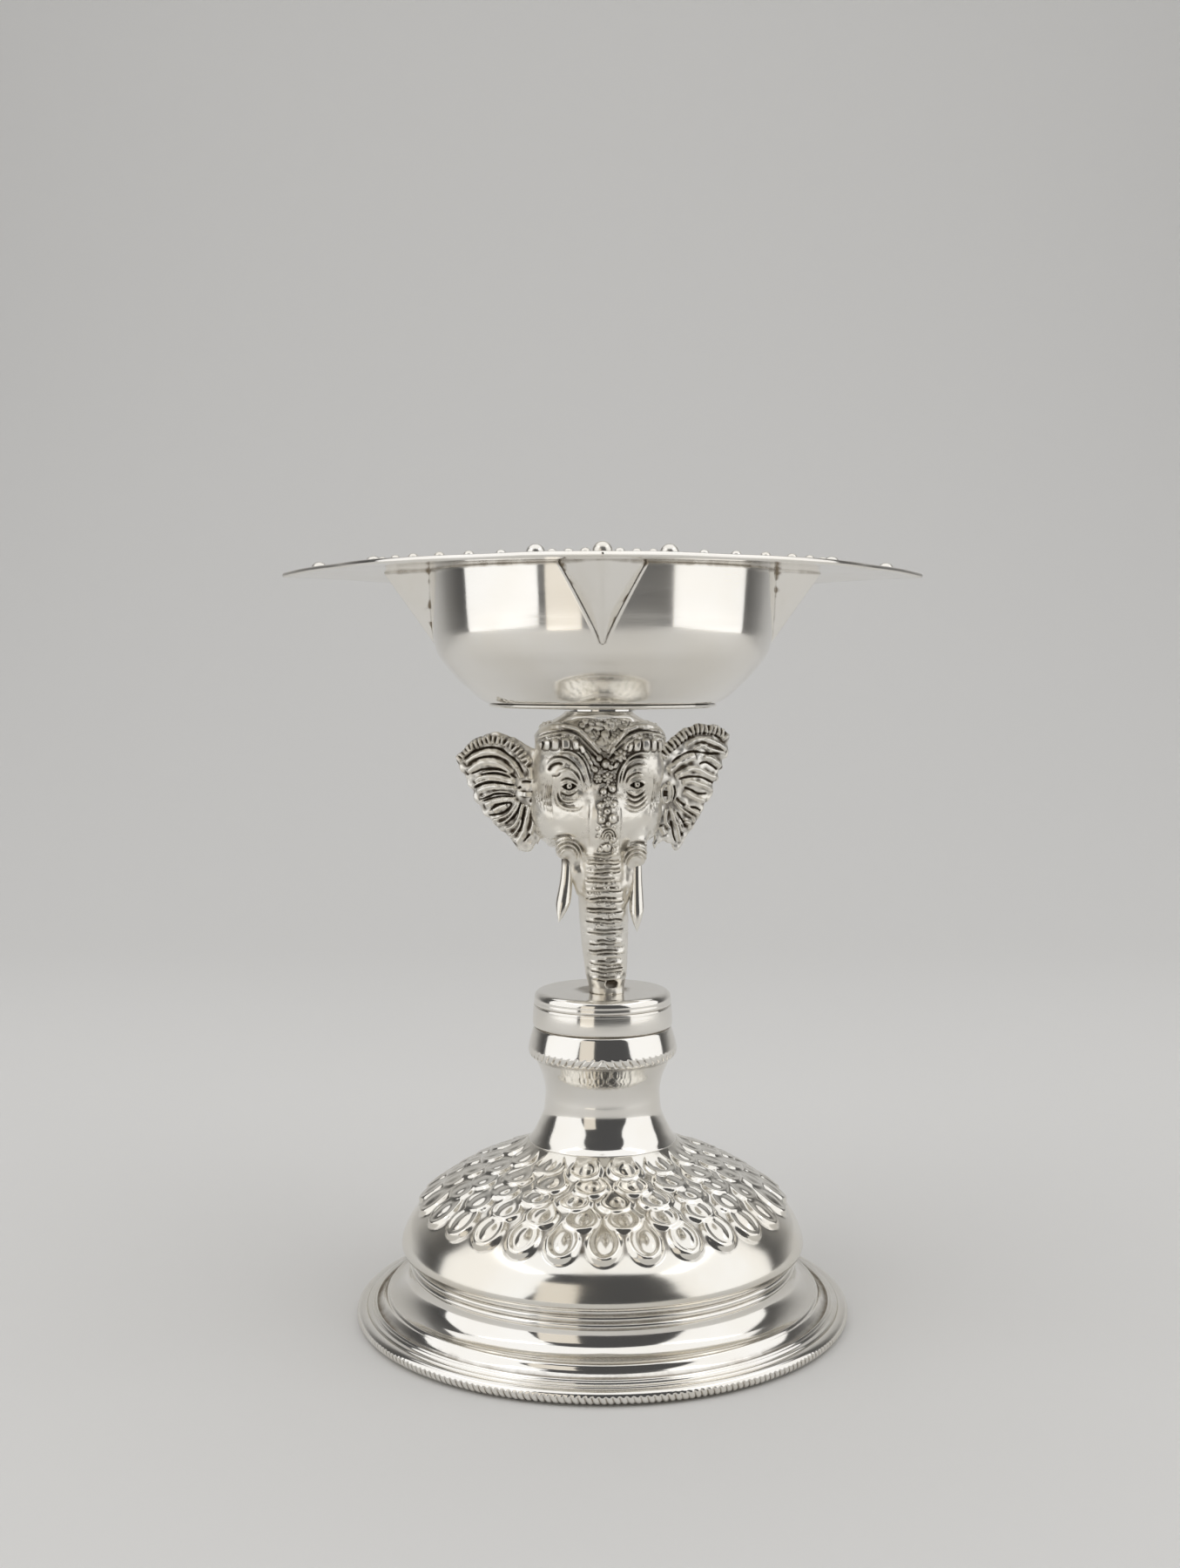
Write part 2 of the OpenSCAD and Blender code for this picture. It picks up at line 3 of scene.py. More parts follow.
import bmesh
import bpy
import numpy as np
import openvdb
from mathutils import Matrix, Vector


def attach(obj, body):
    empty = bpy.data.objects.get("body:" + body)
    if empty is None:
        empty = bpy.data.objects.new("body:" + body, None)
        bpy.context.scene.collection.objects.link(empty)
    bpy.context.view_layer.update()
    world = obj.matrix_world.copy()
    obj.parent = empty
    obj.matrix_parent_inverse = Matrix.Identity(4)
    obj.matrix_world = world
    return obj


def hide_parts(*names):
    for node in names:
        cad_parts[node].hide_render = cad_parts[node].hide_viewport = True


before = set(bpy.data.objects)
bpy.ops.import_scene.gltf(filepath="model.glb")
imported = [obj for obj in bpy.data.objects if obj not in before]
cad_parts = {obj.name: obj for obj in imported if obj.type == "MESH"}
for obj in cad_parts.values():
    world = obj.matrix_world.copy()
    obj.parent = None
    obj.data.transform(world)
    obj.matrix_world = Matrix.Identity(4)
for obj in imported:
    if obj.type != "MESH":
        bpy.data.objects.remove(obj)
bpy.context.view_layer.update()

MM = 0.001
TAU = 2 * np.pi
QUARTER = TAU / 4
RNG = np.random.default_rng(11)

# Heights of the pieces above the table, in millimetres
Z_REED, Z_DOME, Z_NECK, Z_COLLAR, Z_CAP = 7.4, 10.6, 26.9, 39.9, 44.8
Z_TRUNK, Z_CHEEK, Z_CROWN, Z_SEAT = 50.3, 71.9, 91.2, 94.4
Z_SAUCER, Z_BOWL, Z_RIM, Z_BEAD = 94.95, 95.55, 116.35, 117.15
# Distances from the axis: the neck's waist and foot, the dome, the bowl and the rim between its points
WAIST_R, NECK_R, DOME_R, BOWL_R, RIM_R = 9.1, 11.7, 31.6, 27.6, 43.5
# Where the rim begins to fall
RIM_BEND = 31
# The elephant stands turned, with its head left of the axis; height of the middle of its ears
TURN, HEAD_X, EAR_HUB = np.radians(8), -0.95, 81.26
# Steps round a plain turned piece, its least distance from the axis, and the patina inside a shell
ROUND, AXIS_R, INNER_PATINA = 360, 0.02, 0.25
# Points of a mesh that are nearer than this become one, in metres
WELD = 1e-7


# Helpers

def lerp(a, b, t):
    return a + (b - a) * t


def smooth(a, b, x):
    """A soft step from zero at a to one at b."""
    t = np.clip((x - a) / (b - a), 0, 1)
    return t * t * (3 - 2 * t)


def hill(x, w):
    """A bell with one at its top, where x is zero."""
    return np.exp(-(x / w) ** 2)


def even(line, step):
    """The line with points at an even step."""
    s = np.r_[0, np.cumsum(np.linalg.norm(np.diff(line, axis=0), axis=1))]
    u = np.linspace(0, s[-1], max(2, int(np.ceil(s[-1] / step)) + 1))
    return np.column_stack([np.interp(u, s, line[:, k]) for k in range(line.shape[1])])


def through(keys, v):
    """A smooth line through the keys, read at the places v, which count in keys."""
    q = np.concatenate([2 * keys[:1] - keys[1:2], keys, 2 * keys[-1:] - keys[-2:-1]])
    i = np.minimum(v.astype(int), len(keys) - 2)
    t = (v - i)[:, None]
    a, b, c, d = q[i], q[i + 1], q[i + 2], q[i + 3]
    cubic = (3 * b - a - 3 * c + d) * t ** 3
    return 0.5 * (2 * b + (c - a) * t + (2 * a - 5 * b + 4 * c - d) * t ** 2 + cubic)


def curve(points, step=0.1):
    """A smooth line through the points, at an even step."""
    p = np.asarray(points, float)
    return even(through(p, np.linspace(0, len(p) - 1, 32 * (len(p) - 1) + 1)), step)


def corners(points, soft=0.08, step=0.8):
    """Straight runs between the points, with each inner corner cut by a tiny bevel."""
    p = np.asarray(points, float)
    out = [p[:1]]
    for i in range(len(p) - 1):
        d = p[i + 1] - p[i]
        n = np.linalg.norm(d)
        a = soft / n if i else 0
        b = 1 - soft / n if i < len(p) - 2 else 1
        t = np.linspace(a, b, max(2, int(n / step) + 1))[:, None]
        out.append(p[i] + d * t)
    return np.vstack(out)


def arc(middle, wide, tall, start, end, count):
    """Points of an oval arc between two angles in degrees."""
    t = np.radians(np.linspace(start, end, count))
    return np.column_stack([middle[0] + wide * np.cos(t), middle[1] + tall * np.sin(t)])


def around(count):
    """The angles of a full turn in even steps."""
    return np.arange(count) / count * TAU


def polar(r, a, z):
    """Points at the distance r from the axis, the angle a and the height z."""
    return np.stack(np.broadcast_arrays(r * np.cos(a), r * np.sin(a), z), -1)


def facing(x, y):
    """Places in the head's own frame, turned as the elephant stands."""
    return x * np.cos(TURN) - y * np.sin(TURN), x * np.sin(TURN) + y * np.cos(TURN)


def run_gap(x, z, a, b):
    """Distance of each place from the straight run a to b, and the share of the run that is nearest."""
    d = b - a
    t = np.clip(((x - a[0]) * d[0] + (z - a[1]) * d[1]) / max(d @ d, 1e-9), 0, 1)
    return np.hypot(x - a[0] - t * d[0], z - a[1] - t * d[1]), t


def blur(h, n, axes, wrap=()):
    """Three passes of a running mean over 2 n + 1 samples."""
    h = np.asarray(h, float)
    w = 2 * n + 1
    for ax in axes:
        h = np.moveaxis(h, ax, 0)
        for _ in range(3):
            pad = [(n + 1, n)] + [(0, 0)] * (h.ndim - 1)
            g = np.cumsum(np.pad(h, pad, mode="wrap" if ax in wrap else "edge"), axis=0)
            h = (g[w:] - g[:-w]) / w
        h = np.moveaxis(h, 0, ax)
    return h


def mottle(shape, n):
    """Soft random heights with a spread of one."""
    h = blur(RNG.uniform(-1, 1, shape), n, (0, 1))
    return h / h.std()


def grid_faces(rows, cols, wrap_rows=False, wrap_cols=False):
    """Quads of a grid of points, closed round its rows or columns."""
    i = np.arange(rows if wrap_rows else rows - 1)[:, None]
    j = np.arange(cols if wrap_cols else cols - 1)[None, :]
    k, m = (i + 1) % rows, (j + 1) % cols
    quad = (i * cols + j, i * cols + m, k * cols + m, k * cols + j)
    return np.stack(np.broadcast_arrays(*quad), -1).reshape(-1, 4)


def skin(block, most):
    """Points and quads of the surface in a block of distances, and the samples nearest to the points."""
    grid = openvdb.FloatGrid(most)
    grid.copyFromArray(block)
    pts, quads = grid.convertToQuads(0.0)
    pts = np.asarray(pts, float)
    near = np.clip(np.round(pts).astype(int), 0, np.array(block.shape) - 1)
    return pts, np.asarray(quads), tuple(near.T)


def mesh(name, verts, faces):
    """A smooth mesh from points in metres."""
    me = bpy.data.meshes.new(name)
    me.from_pydata(verts, [], faces)
    me.polygons.foreach_set("use_smooth", np.ones(len(me.polygons), bool))
    return me


def placed(name, data):
    """A new object in the scene."""
    o = bpy.data.objects.new(name, data)
    bpy.context.scene.collection.objects.link(o)
    return o


def piece(name, verts, faces, patina, body, slot, *nodes, satin=0.0, triangles=(), weld=False):
    """A smooth mesh from points in millimetres that stands for the CAD nodes and rides on their body."""
    v = np.asarray(verts, float).reshape(-1, 3)
    f = np.asarray(faces)
    c = v[f[:, :3]]
    if np.einsum("ij,ij->i", c[:, 0], np.cross(c[:, 1], c[:, 2])).sum() < 0:
        f = f[:, ::-1]
    me = mesh(name, (v * MM).tolist(), f.tolist() + list(triangles))
    for label, tone in (("patina", patina), ("satin", satin)):
        tone = np.full(len(v), tone) if np.size(tone) == 1 else tone
        data = np.ascontiguousarray(tone, np.float32).ravel()
        me.attributes.new(label, "FLOAT", "POINT").data.foreach_set("value", data)
    # Points at the same place become one
    if weld:
        joined = bmesh.new()
        joined.from_mesh(me)
        bmesh.ops.remove_doubles(joined, verts=joined.verts, dist=WELD)
        joined.to_mesh(me)
        joined.free()
    me.update()
    o = placed(name, me)
    me.materials.append(FINISH[slot])
    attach(o, body)
    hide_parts(*nodes)


def normals(line):
    """Outward normals of a line that climbs on the outside."""
    t = np.gradient(line, axis=0)
    t /= np.maximum(np.linalg.norm(t, axis=1, keepdims=True), 1e-9)
    return np.column_stack([t[:, 1], -t[:, 0]])


def hollow(line, n=6, depth=0.14):
    """Patina share of each point of a line: high in its grooves."""
    soft = blur(line, n, (0,))
    return np.clip(np.einsum("ij,ij->i", soft - line, normals(line)) / depth, 0, 1)


def spin(line, cols, relief=0.0):
    """The line turned about Z; relief, rows by cols, stands out along the line's normals."""
    n = normals(line)
    return polar(line[:, :1] + relief * n[:, :1], around(cols), line[:, 1:] + relief * n[:, 1:])


def turned(name, outer, inner, cols, body, slot, node, relief=0.0, patina=None):
    """A turned ring or shell: the outer line from the bottom up, then the inner one down."""
    tone = np.full((len(outer) + len(inner), cols), INNER_PATINA)
    tone[:len(outer)] = hollow(outer)[:, None] if patina is None else patina
    pts = np.concatenate([spin(outer, cols, relief), spin(inner, cols)])
    piece(name, pts, grid_faces(len(pts), cols, True, True), tone, body, slot, node)


# Finishes

# Scales of their textures: broad mottling, fine grime, drawn lines, cast pits and the sheet's soft waves
MOTTLING, GRIME, DRAWN, PITS, WAVES = 70, 520, 300, 900, 90


def metal(name, bright, warm, dark, rough, worn, patina_from, patina_to):
    """Worn metal: a mottled bright tone, dark patina in the hollows with painted shade where a piece carries
    it, fine scratches and a soft unevenness.
    """
    m = bpy.data.materials.new(name)
    m.use_nodes = True
    t = m.node_tree
    t.nodes.clear()

    def node(kind, out, inputs=(), **settings):
        """An output of a new node, whose inputs are values or outputs of other nodes."""
        n = t.nodes.new("ShaderNode" + kind)
        for key, value in settings.items():
            setattr(n, key, value)
        for key, value in dict(inputs).items():
            if isinstance(value, bpy.types.NodeSocket):
                t.links.new(value, n.inputs[key])
            else:
                n.inputs[key].default_value = value
        return n.outputs[out]

    def noise(scale, detail, at):
        return node("TexNoise", "Fac", {"Vector": at, "Scale": scale, "Detail": detail})

    def ramp(value, a, b, c, d):
        ends = {"From Min": a, "From Max": b, "To Min": c, "To Max": d}
        return node("MapRange", "Result", {"Value": value, **ends}, interpolation_type="SMOOTHSTEP")

    def sums(kind, a, b):
        return node("Math", "Value", {0: a, 1: b}, operation=kind)

    def mix(f, a, b):
        # Sockets 6 and 7 take the two colours, and 2 gives the mixed one
        return node("Mix", 2, {"Factor": f, 6: a, 7: b}, data_type="RGBA")

    at = node("TexCoord", "Object")
    drawn = node("Mapping", "Vector", {"Vector": at, "Scale": (1, 1, 14), "Rotation": (0.3, 0.2, 0.5)})
    # The patina share of each point; on the elephant it also holds painted shade in the broad hollows
    aged_and_shaded = node("Attribute", "Fac", attribute_name="patina")
    cast = node("Attribute", "Fac", attribute_name="satin")
    broad, fine, lines = noise(MOTTLING, 4, at), noise(GRIME, 3, at), noise(DRAWN, 2, drawn)
    grime_and_shade = sums("ADD", aged_and_shaded, sums("MULTIPLY", sums("SUBTRACT", fine, 0.5), 0.5))
    mask = ramp(grime_and_shade, patina_from, patina_to, 0, 1)
    tone = mix(ramp(broad, 0.35, 0.7, 0, 1), (*bright, 1), (*warm, 1))
    soil = sums("ADD", ramp(broad, 0.3, 0.75, rough, rough + worn), sums("MULTIPLY", lines, 0.05))
    soil = sums("ADD", soil, sums("MULTIPLY", cast, 0.16))
    pits = sums("MULTIPLY", noise(PITS, 3, at), sums("MULTIPLY", cast, 0.35))
    waves = sums("ADD", noise(WAVES, 1, at), sums("MULTIPLY", lines, 0.04))
    height = sums("ADD", waves, pits)
    uneven = node("Bump", "Normal", {"Strength": 0.12, "Distance": 0.0004, "Height": height})
    surface = node("BsdfPrincipled", "BSDF", {
        "Metallic": 1, "Base Color": mix(mask, tone, (*dark, 1)), "Normal": uneven,
        "Roughness": sums("ADD", soil, sums("MULTIPLY", mask, 0.3))})
    t.links.new(surface, t.nodes.new("ShaderNodeOutputMaterial").inputs["Surface"])
    return m


FINISH = {
    "bright_silver": metal("bright_silver", (0.87, 0.85, 0.81), (0.84, 0.81, 0.75), (0.20, 0.16, 0.11),
                           0.05, 0.06, 0.35, 1.1),
    # Its dark colour shows the patina and also the painted shade in the elephant's broad hollows
    "antique_silver": metal("antique_silver", (0.85, 0.83, 0.78), (0.82, 0.78, 0.70), (0.07, 0.052, 0.034),
                            0.08, 0.08, 0.25, 0.95),
    "brass_fittings": metal("brass_fittings", (0.72, 0.54, 0.25), (0.62, 0.45, 0.2), (0.12, 0.085, 0.04),
                            0.2, 0.15, 0.3, 1.0),
}


# Foot and dome

def foot():
    """The spun foot: an upright edge, fine steps and a deep cove."""
    outer = np.vstack([
        corners([[36.2, 0], [36.9, 0], [36.9, 2.05]]),
        curve([[36.85, 2.2], [36.7, 2.28], [36.4, 2.3], [36.24, 2.33], [36.16, 2.5], [36.0, 2.66],
               [35.84, 2.58], [35.77, 2.52], [35.7, 2.62], [35.55, 2.78], [35.4, 2.68], [35.3, 2.45],
               [34.9, 2.5], [34.45, 2.78], [34.1, 3.2], [33.95, 3.48], [33.85, 3.78], [33.66, 4.02],
               [33.45, 4.02], [33.3, 3.88], [32.8, 3.9], [32.1, 4.08], [31.2, 4.6], [30.45, 5.35],
               [30.0, 6.3], [29.8, 7.38]], 0.07)])
    inner = corners([[29.7, Z_REED], [28.8, Z_REED], [28.8, 6.2], [29.6, 4.75], [30.7, 3.8], [33.2, 2.9],
                     [34.5, 1.6], [35.7, 1.4], [35.7, 0], [36.2, 0]])
    turned("foot", outer, inner, ROUND, "base", "bright_silver", "foot_shell",
           patina=hollow(outer, 7, 0.16)[:, None])


def rope():
    """The milled edge: a bead, smooth above, with fine slanting nicks round its outside."""
    rows, cols, nicks = 36, 2000, 250
    mid_r, mid_z, wall_r = 37.5, 1.2, 36.86
    b, a = around(rows)[:, None], around(cols)
    turns = (nicks * a / TAU + 0.3 * np.sin(b)) % 1
    notch = hill(np.abs(turns - 0.5) - 0.5, 0.2)
    out = smooth(-0.3, 0.2, np.cos(b)) * smooth(0.45, 0.1, np.sin(b))
    r = 1.0 - (0.17 + 0.05 * np.sin(41 * a)) * notch * out
    pts = polar(np.maximum(mid_r + r * np.cos(b), wall_r), a, mid_z + r * np.sin(b))
    piece("rope_edge", pts, grid_faces(rows, cols, True, True), 0.9 * notch * out, "base", "bright_silver",
          "foot_rope_edge")


def reeds():
    """Three fine reeds, one above the other."""
    count, half, inner_r, seat_r, bulge = 3, 0.533, 28.8, 29.7, 0.56
    t = np.linspace(-0.42 * np.pi, 0.42 * np.pi, 15)
    reed = np.column_stack([seat_r + bulge * np.cos(t), Z_REED + half * (1 + np.sin(t))])
    outer = np.vstack([reed + [0, 2 * half * k] for k in range(count)])
    inner = corners([[29.6, Z_DOME], [inner_r, Z_DOME], [inner_r, Z_REED], [29.6, Z_REED]])
    turned("reeded_band", outer, inner, ROUND, "base", "bright_silver", "reeded_band",
           patina=(1 - np.cos(np.tile(t, count)))[:, None])


# Line of the dome: shares of the way out from the neck and of its height
DOME = [[0, 1], [0.095, 0.896], [0.226, 0.828], [0.372, 0.761], [0.523, 0.675], [0.683, 0.552],
        [0.809, 0.429], [0.92, 0.282], [0.98, 0.141], [1, 0.05], [0.985, 0]]


# Rows of scales from the neck down: their tips as shares of the dome's width, their numbers and their turns
SCALE_EDGE = [0.02, 0.2, 0.38, 0.525, 0.675, 0.864]
SCALE_ROWS = [14, 17, 21, 24, 28]
SCALE_TURN = [0.56, 0.72, 0.31, 0.5, 0.03]


def scales(p, a):
    """Height of the overlapping scales at shares p of the dome's width: plates with a thin rim and a boss."""
    h = np.zeros((len(p), len(a)))
    last = len(SCALE_ROWS) - 1
    for k in range(last, -1, -1):
        tip = SCALE_EDGE[k + 1]
        top = SCALE_EDGE[k] - 0.5 * (tip - SCALE_EDGE[k])
        turn = (a[None, :] + QUARTER) / TAU * SCALE_ROWS[k] - SCALE_TURN[k]
        n = np.round(turn)
        x = 2 * (turn - n)
        # Each scale differs a little from its neighbours
        odd = np.sin(12.9 * n + 5 * k)
        y = (p[:, None] - top) / (tip - top) * (1 + 0.025 * odd)
        widest = 0.58
        w = lerp(0.34, 0.87 + 0.03 * odd, smooth(0.0, widest, y))
        q = np.sqrt((x / w) ** 2 + np.maximum(0, (y - widest) / (1 - widest)) ** 2)
        tall = (0.68 if k < last else 0.95) * lerp(0.3, 1, np.clip(y, 0, 1))
        plate = 0.58 + 0.42 * hill(q - 0.85, 0.14)
        lean = x / w + 0.12 * odd
        boss = 0.42 * np.sqrt(np.maximum(0, 1 - (lean / 0.36) ** 2 - ((y - 0.62) / 0.26) ** 2))
        within = smooth(1.1, 0.92, q) * smooth(-0.12, 0.0, y)
        h = h * (1 - within) + tall * (plate + boss) * within
    return h * smooth(0.0, 0.1, p)[:, None]


def dome():
    """The embossed dome: scales outside, plain sheet inside."""
    outer = curve([[lerp(NECK_R, DOME_R, u), lerp(Z_DOME, Z_NECK, v)] for u, v in DOME], 0.15)
    cols, sheet = 900, 1.0
    low = np.argmax(outer[:, 0])
    p = np.r_[(outer[:low, 0] - NECK_R) / (DOME_R - NECK_R), np.full(len(outer) - low, 1.0)]
    h = blur(scales(p, around(cols)), 1, (0, 1), (1,))
    deep = 0.7 * np.clip((blur(h, 3, (0, 1), (1,)) - h) / 0.2, 0, 1)
    outer, h, deep = outer[::-1], h[::-1], deep[::-1]
    core = (outer - sheet * normals(outer))[::-1][::9]
    inner = np.vstack([[[11.2, Z_NECK], [10.75, Z_NECK]], core[2:-2],
                       [[28.95, Z_DOME + 1], [28.9, Z_DOME + 0.05]]])
    turned("dome", outer, inner, cols, "base", "antique_silver", "dome_shell", h, deep)


def neck():
    """The waisted neck; its line is in shares of the way out from the waist and of its height."""
    line = [[1, 0], [0.72, 0.07], [0.46, 0.17], [0.1, 0.33], [0, 0.5], [-0.02, 0.592], [0.05, 0.692],
            [0.19, 0.792], [0.4, 0.892], [0.63, 1]]
    sheet, clear = 1.0, 0.05
    outer = curve([[lerp(WAIST_R, NECK_R, u), lerp(Z_NECK, Z_COLLAR, v)] for u, v in line], 0.15)
    inner = (outer - sheet * normals(outer))[::-1][::5]
    inner[:, 1] = np.clip(inner[:, 1], Z_NECK + clear, Z_COLLAR - clear)
    turned("base_neck", outer, inner, ROUND, "base", "bright_silver", "base_neck",
           patina=0.7 * smooth(Z_COLLAR - 1, Z_COLLAR, outer[:, 1])[:, None])


def collar():
    """The bulged collar with slanting nicks along its lower edge."""
    outer = curve([[10.9, 0], [11.2, 0.12], [11.55, 0.5], [11.72, 1.0], [11.74, 1.6], [11.5, 2.7],
                   [11.2, 3.8], [10.95, 4.55], [10.7, 4.85]], 0.09)
    inner = corners([[10.6, Z_CAP], [9.3, Z_CAP], [9.3, Z_COLLAR], [10.8, Z_COLLAR]])
    cols, nicks, depth = 1080, 58, 0.22
    a, z = around(cols), outer[:, 1:]
    slant = np.where(np.sin(a + QUARTER) < 0, -1.0, 1.0)
    turn = (nicks * a / TAU + 0.55 * slant * z) % 1
    uneven = 0.75 + 0.25 * np.sin(7 * nicks * a / TAU)
    cut = hill(turn - 0.5, 0.13) * smooth(0.2, 0.4, z) * smooth(1.8, 1.0, z) * uneven
    deep = hollow(outer)[:, None] + 0.9 * cut + 0.6 * smooth(0.3, 0.0, z) + 0.8 * smooth(4.55, 4.85, z)
    turned("gadroon_collar", outer + [0, Z_COLLAR], inner, cols, "base", "bright_silver", "gadroon_collar",
           -depth * cut, np.clip(deep, 0, 1))


def cap():
    """The cap of the collar: a plain band, a rounded edge and a closed top."""
    side = curve([[10.7, 0], [10.95, 0.15], [11.07, 0.5], [11.05, 1.6], [10.96, 2.8], [10.9, 3.3],
                  [10.72, 3.42], [10.86, 3.56], [10.82, 4.2]], 0.06)
    round_off = 1.1
    edge = arc((9.72, 4.4), round_off, round_off, 0, 90, 12)
    top = [[r, Z_TRUNK] for r in np.linspace(9.4, AXIS_R, 14)]
    outer = np.vstack([side + [0, Z_CAP], edge + [0, Z_CAP], top])
    inner = corners([[AXIS_R, 49.1], [10, 49.1], [10, Z_CAP], [10.6, Z_CAP]])
    deep = hollow(outer, 4, 0.08) + 0.8 * smooth(Z_CAP + 0.4, Z_CAP, outer[:, 1])
    deep += (0.25 + 0.6 * smooth(5.5, 3.2, outer[:, 0])) * (outer[:, 1] > Z_TRUNK - 0.1)
    turned("collar_cap", outer, inner, ROUND, "base", "bright_silver", "collar_cap",
           patina=np.clip(deep, 0, 1)[:, None])


# Elephant

class Clay:
    """A block of distances to a surface, in millimetres, that forms are joined to or cut from."""

    def __init__(self, lo, hi, step):
        self.lo = np.array(lo, float)
        self.axes = [np.arange(a, b, step) for a, b in zip(lo, hi)]
        self.d = np.full([len(a) for a in self.axes], 3.0, np.float32)

    def join(self, form, lo, hi, blend, way=1):
        """Joins a form with a soft seam, or cuts it out where way is -1."""
        room, cut = 0.4, []
        for axis, a, b in zip(self.axes, lo, hi):
            i, j = np.searchsorted(axis, [a - blend - room, b + blend + room])
            cut.append(slice(i, max(j, i + 1)))
        cut = tuple(cut)
        new, old = way * form(*np.ix_(*(axis[c] for axis, c in zip(self.axes, cut)))), self.d[cut]
        t = np.clip(0.5 + 0.5 * way * (old - new) / blend, 0, 1)
        self.d[cut] = old + (new - old) * t - way * blend * t * (1 - t)

    def ball(self, at, size, blend, way=1, roll=0.0):
        """An egg with the given half sizes, rolled in the plane of the face."""
        c, s = np.cos(roll), np.sin(roll)

        def form(x, y, z):
            u, v = x - at[0], z - at[2]
            p, q, r = (c * u + s * v) / size[0], (y - at[1]) / size[1], (c * v - s * u) / size[2]
            k = np.sqrt(p * p + q * q + r * r)
            g = np.sqrt((p / size[0]) ** 2 + (q / size[1]) ** 2 + (r / size[2]) ** 2)
            return k * (k - 1) / np.maximum(g, 1e-6)

        self.join(form, np.array(at) - max(size), np.array(at) + max(size), blend, way)

    def rod(self, a, b, ra, rb, blend):
        """A round rod that tapers from one radius to the other."""
        a, b = np.array(a, float), np.array(b, float)

        def form(x, y, z):
            d = b - a
            t = np.clip(((x - a[0]) * d[0] + (y - a[1]) * d[1] + (z - a[2]) * d[2]) / (d @ d), 0, 1)
            return np.sqrt((x - a[0] - t * d[0]) ** 2 + (y - a[1] - t * d[1]) ** 2
                           + (z - a[2] - t * d[2]) ** 2) - lerp(ra, rb, t)

        big = max(ra, rb)
        self.join(form, np.minimum(a, b) - big, np.maximum(a, b) + big, blend)

    def loft(self, rows, power, blend):
        """Oval sections: height, middle x and y, half width, depth to the front and to the back."""
        rows = np.array(rows, float)

        def form(x, y, z):
            cx, cy, a, f, b = (np.interp(z, rows[:, 0], rows[:, k]) for k in range(1, 6))
            v = y - cy
            deep = np.where(v < 0, f, b)
            q = (np.abs((x - cx) / a) ** power + np.abs(v / deep) ** power) ** (1 / power)
            return np.maximum((q - 1) * np.minimum(a, deep), np.maximum(rows[0, 0] - z, z - rows[-1, 0]))

        lo = [self.axes[0][0], self.axes[1][0], rows[0, 0]]
        hi = [self.axes[0][-1], self.axes[1][-1], rows[-1, 0]]
        self.join(form, lo, hi, blend)


# Farther than any place on the part, in millimetres
FAR = 99.0


class Relief:
    """Heights drawn on the face, seen from the front, in the head's own millimetres."""

    def __init__(self, x, z):
        self.x, self.z = x[:, None], z[None, :]
        self.up = np.zeros((len(x), len(z)))
        self.down = np.zeros((len(x), len(z)))

    def line(self, points, w, h, fade=0.0):
        """A ridge, or a groove where h is negative, that may fade towards its ends."""
        p = np.asarray(points, float)
        i0, i1 = np.searchsorted(self.x[:, 0], [p[:, 0].min() - 3 * w, p[:, 0].max() + 3 * w])
        j0, j1 = np.searchsorted(self.z[0], [p[:, 1].min() - 3 * w, p[:, 1].max() + 3 * w])
        if i1 <= i0 or j1 <= j0:
            return
        x, z = self.x[i0:i1], self.z[:, j0:j1]
        near, along = np.full((i1 - i0, j1 - j0), FAR), np.zeros((i1 - i0, j1 - j0))
        for k, (a, b) in enumerate(zip(p, p[1:])):
            gap, t = run_gap(x, z, a, b)
            along = np.where(gap < near, (k + t) / (len(p) - 1), along)
            near = np.minimum(near, gap)
        form = h * hill(near, w)
        if fade:
            form = form * smooth(0, fade, along) * smooth(1, 1 - fade, along)
        side, pick = (self.up, np.maximum) if h > 0 else (self.down, np.minimum)
        side[i0:i1, j0:j1] = pick(side[i0:i1, j0:j1], form)

    def fold(self, points, eye, h):
        """A skin fold round an eye: a ridge with a groove outside it."""
        p = curve(points, 0.2)
        q = p - eye
        self.line(p, 0.2, h, 0.25)
        self.line(eye + q * (1 + 0.3 / np.linalg.norm(q, axis=1, keepdims=True)), 0.13, -0.75 * h, 0.3)

    def bead(self, at, r, h):
        """A round bead with a fine groove about it."""
        q = 1 - ((self.x - at[0]) ** 2 + (self.z - at[1]) ** 2) / r ** 2
        self.up = np.maximum(self.up, h * np.sqrt(np.maximum(q, 0)))
        self.line(arc(at, 1.12 * r, 1.12 * r, 0, 360, 17), 0.13, -0.13)

    def rosette(self, at, r):
        """Six petals about a bead."""
        for k in range(6):
            w = TAU * k / 6 + at[0]
            self.bead((at[0] + 0.66 * r * np.cos(w), at[1] + 0.66 * r * np.sin(w)), 0.36 * r, 0.34 * r)
        self.bead(at, 0.42 * r, 0.65 * r)

    def grains(self, count, x_range, z_range, sizes, narrow=0.0):
        """Random grains in a box, which may narrow towards its lower end."""
        for _ in range(count):
            v = RNG.uniform(0, 1)
            x = lerp(x_range[0], x_range[1], 0.5 + RNG.uniform(-0.5, 0.5) * lerp(1 - narrow, 1, v))
            d = RNG.uniform(*sizes)
            self.bead((x, lerp(z_range[0], z_range[1], v)), d, 0.75 * d)

    def block(self, at, wide, tall, lean, h):
        """A small flat-topped tooth of the fringe, leaning by a share of its height."""
        u = np.abs(self.x - at[0] - lean * (self.z - at[1])) / wide
        v = np.abs(self.z - at[1]) / tall
        q = (u ** 4 + v ** 4) ** 0.25
        self.up = np.maximum(self.up, h * smooth(1.0, 0.72, q))
        groove = np.minimum(self.down, -0.55 * h * hill(q - 1.15, 0.16))
        self.down = np.where((q > 0.95) & (q < 1.5), groove, self.down)


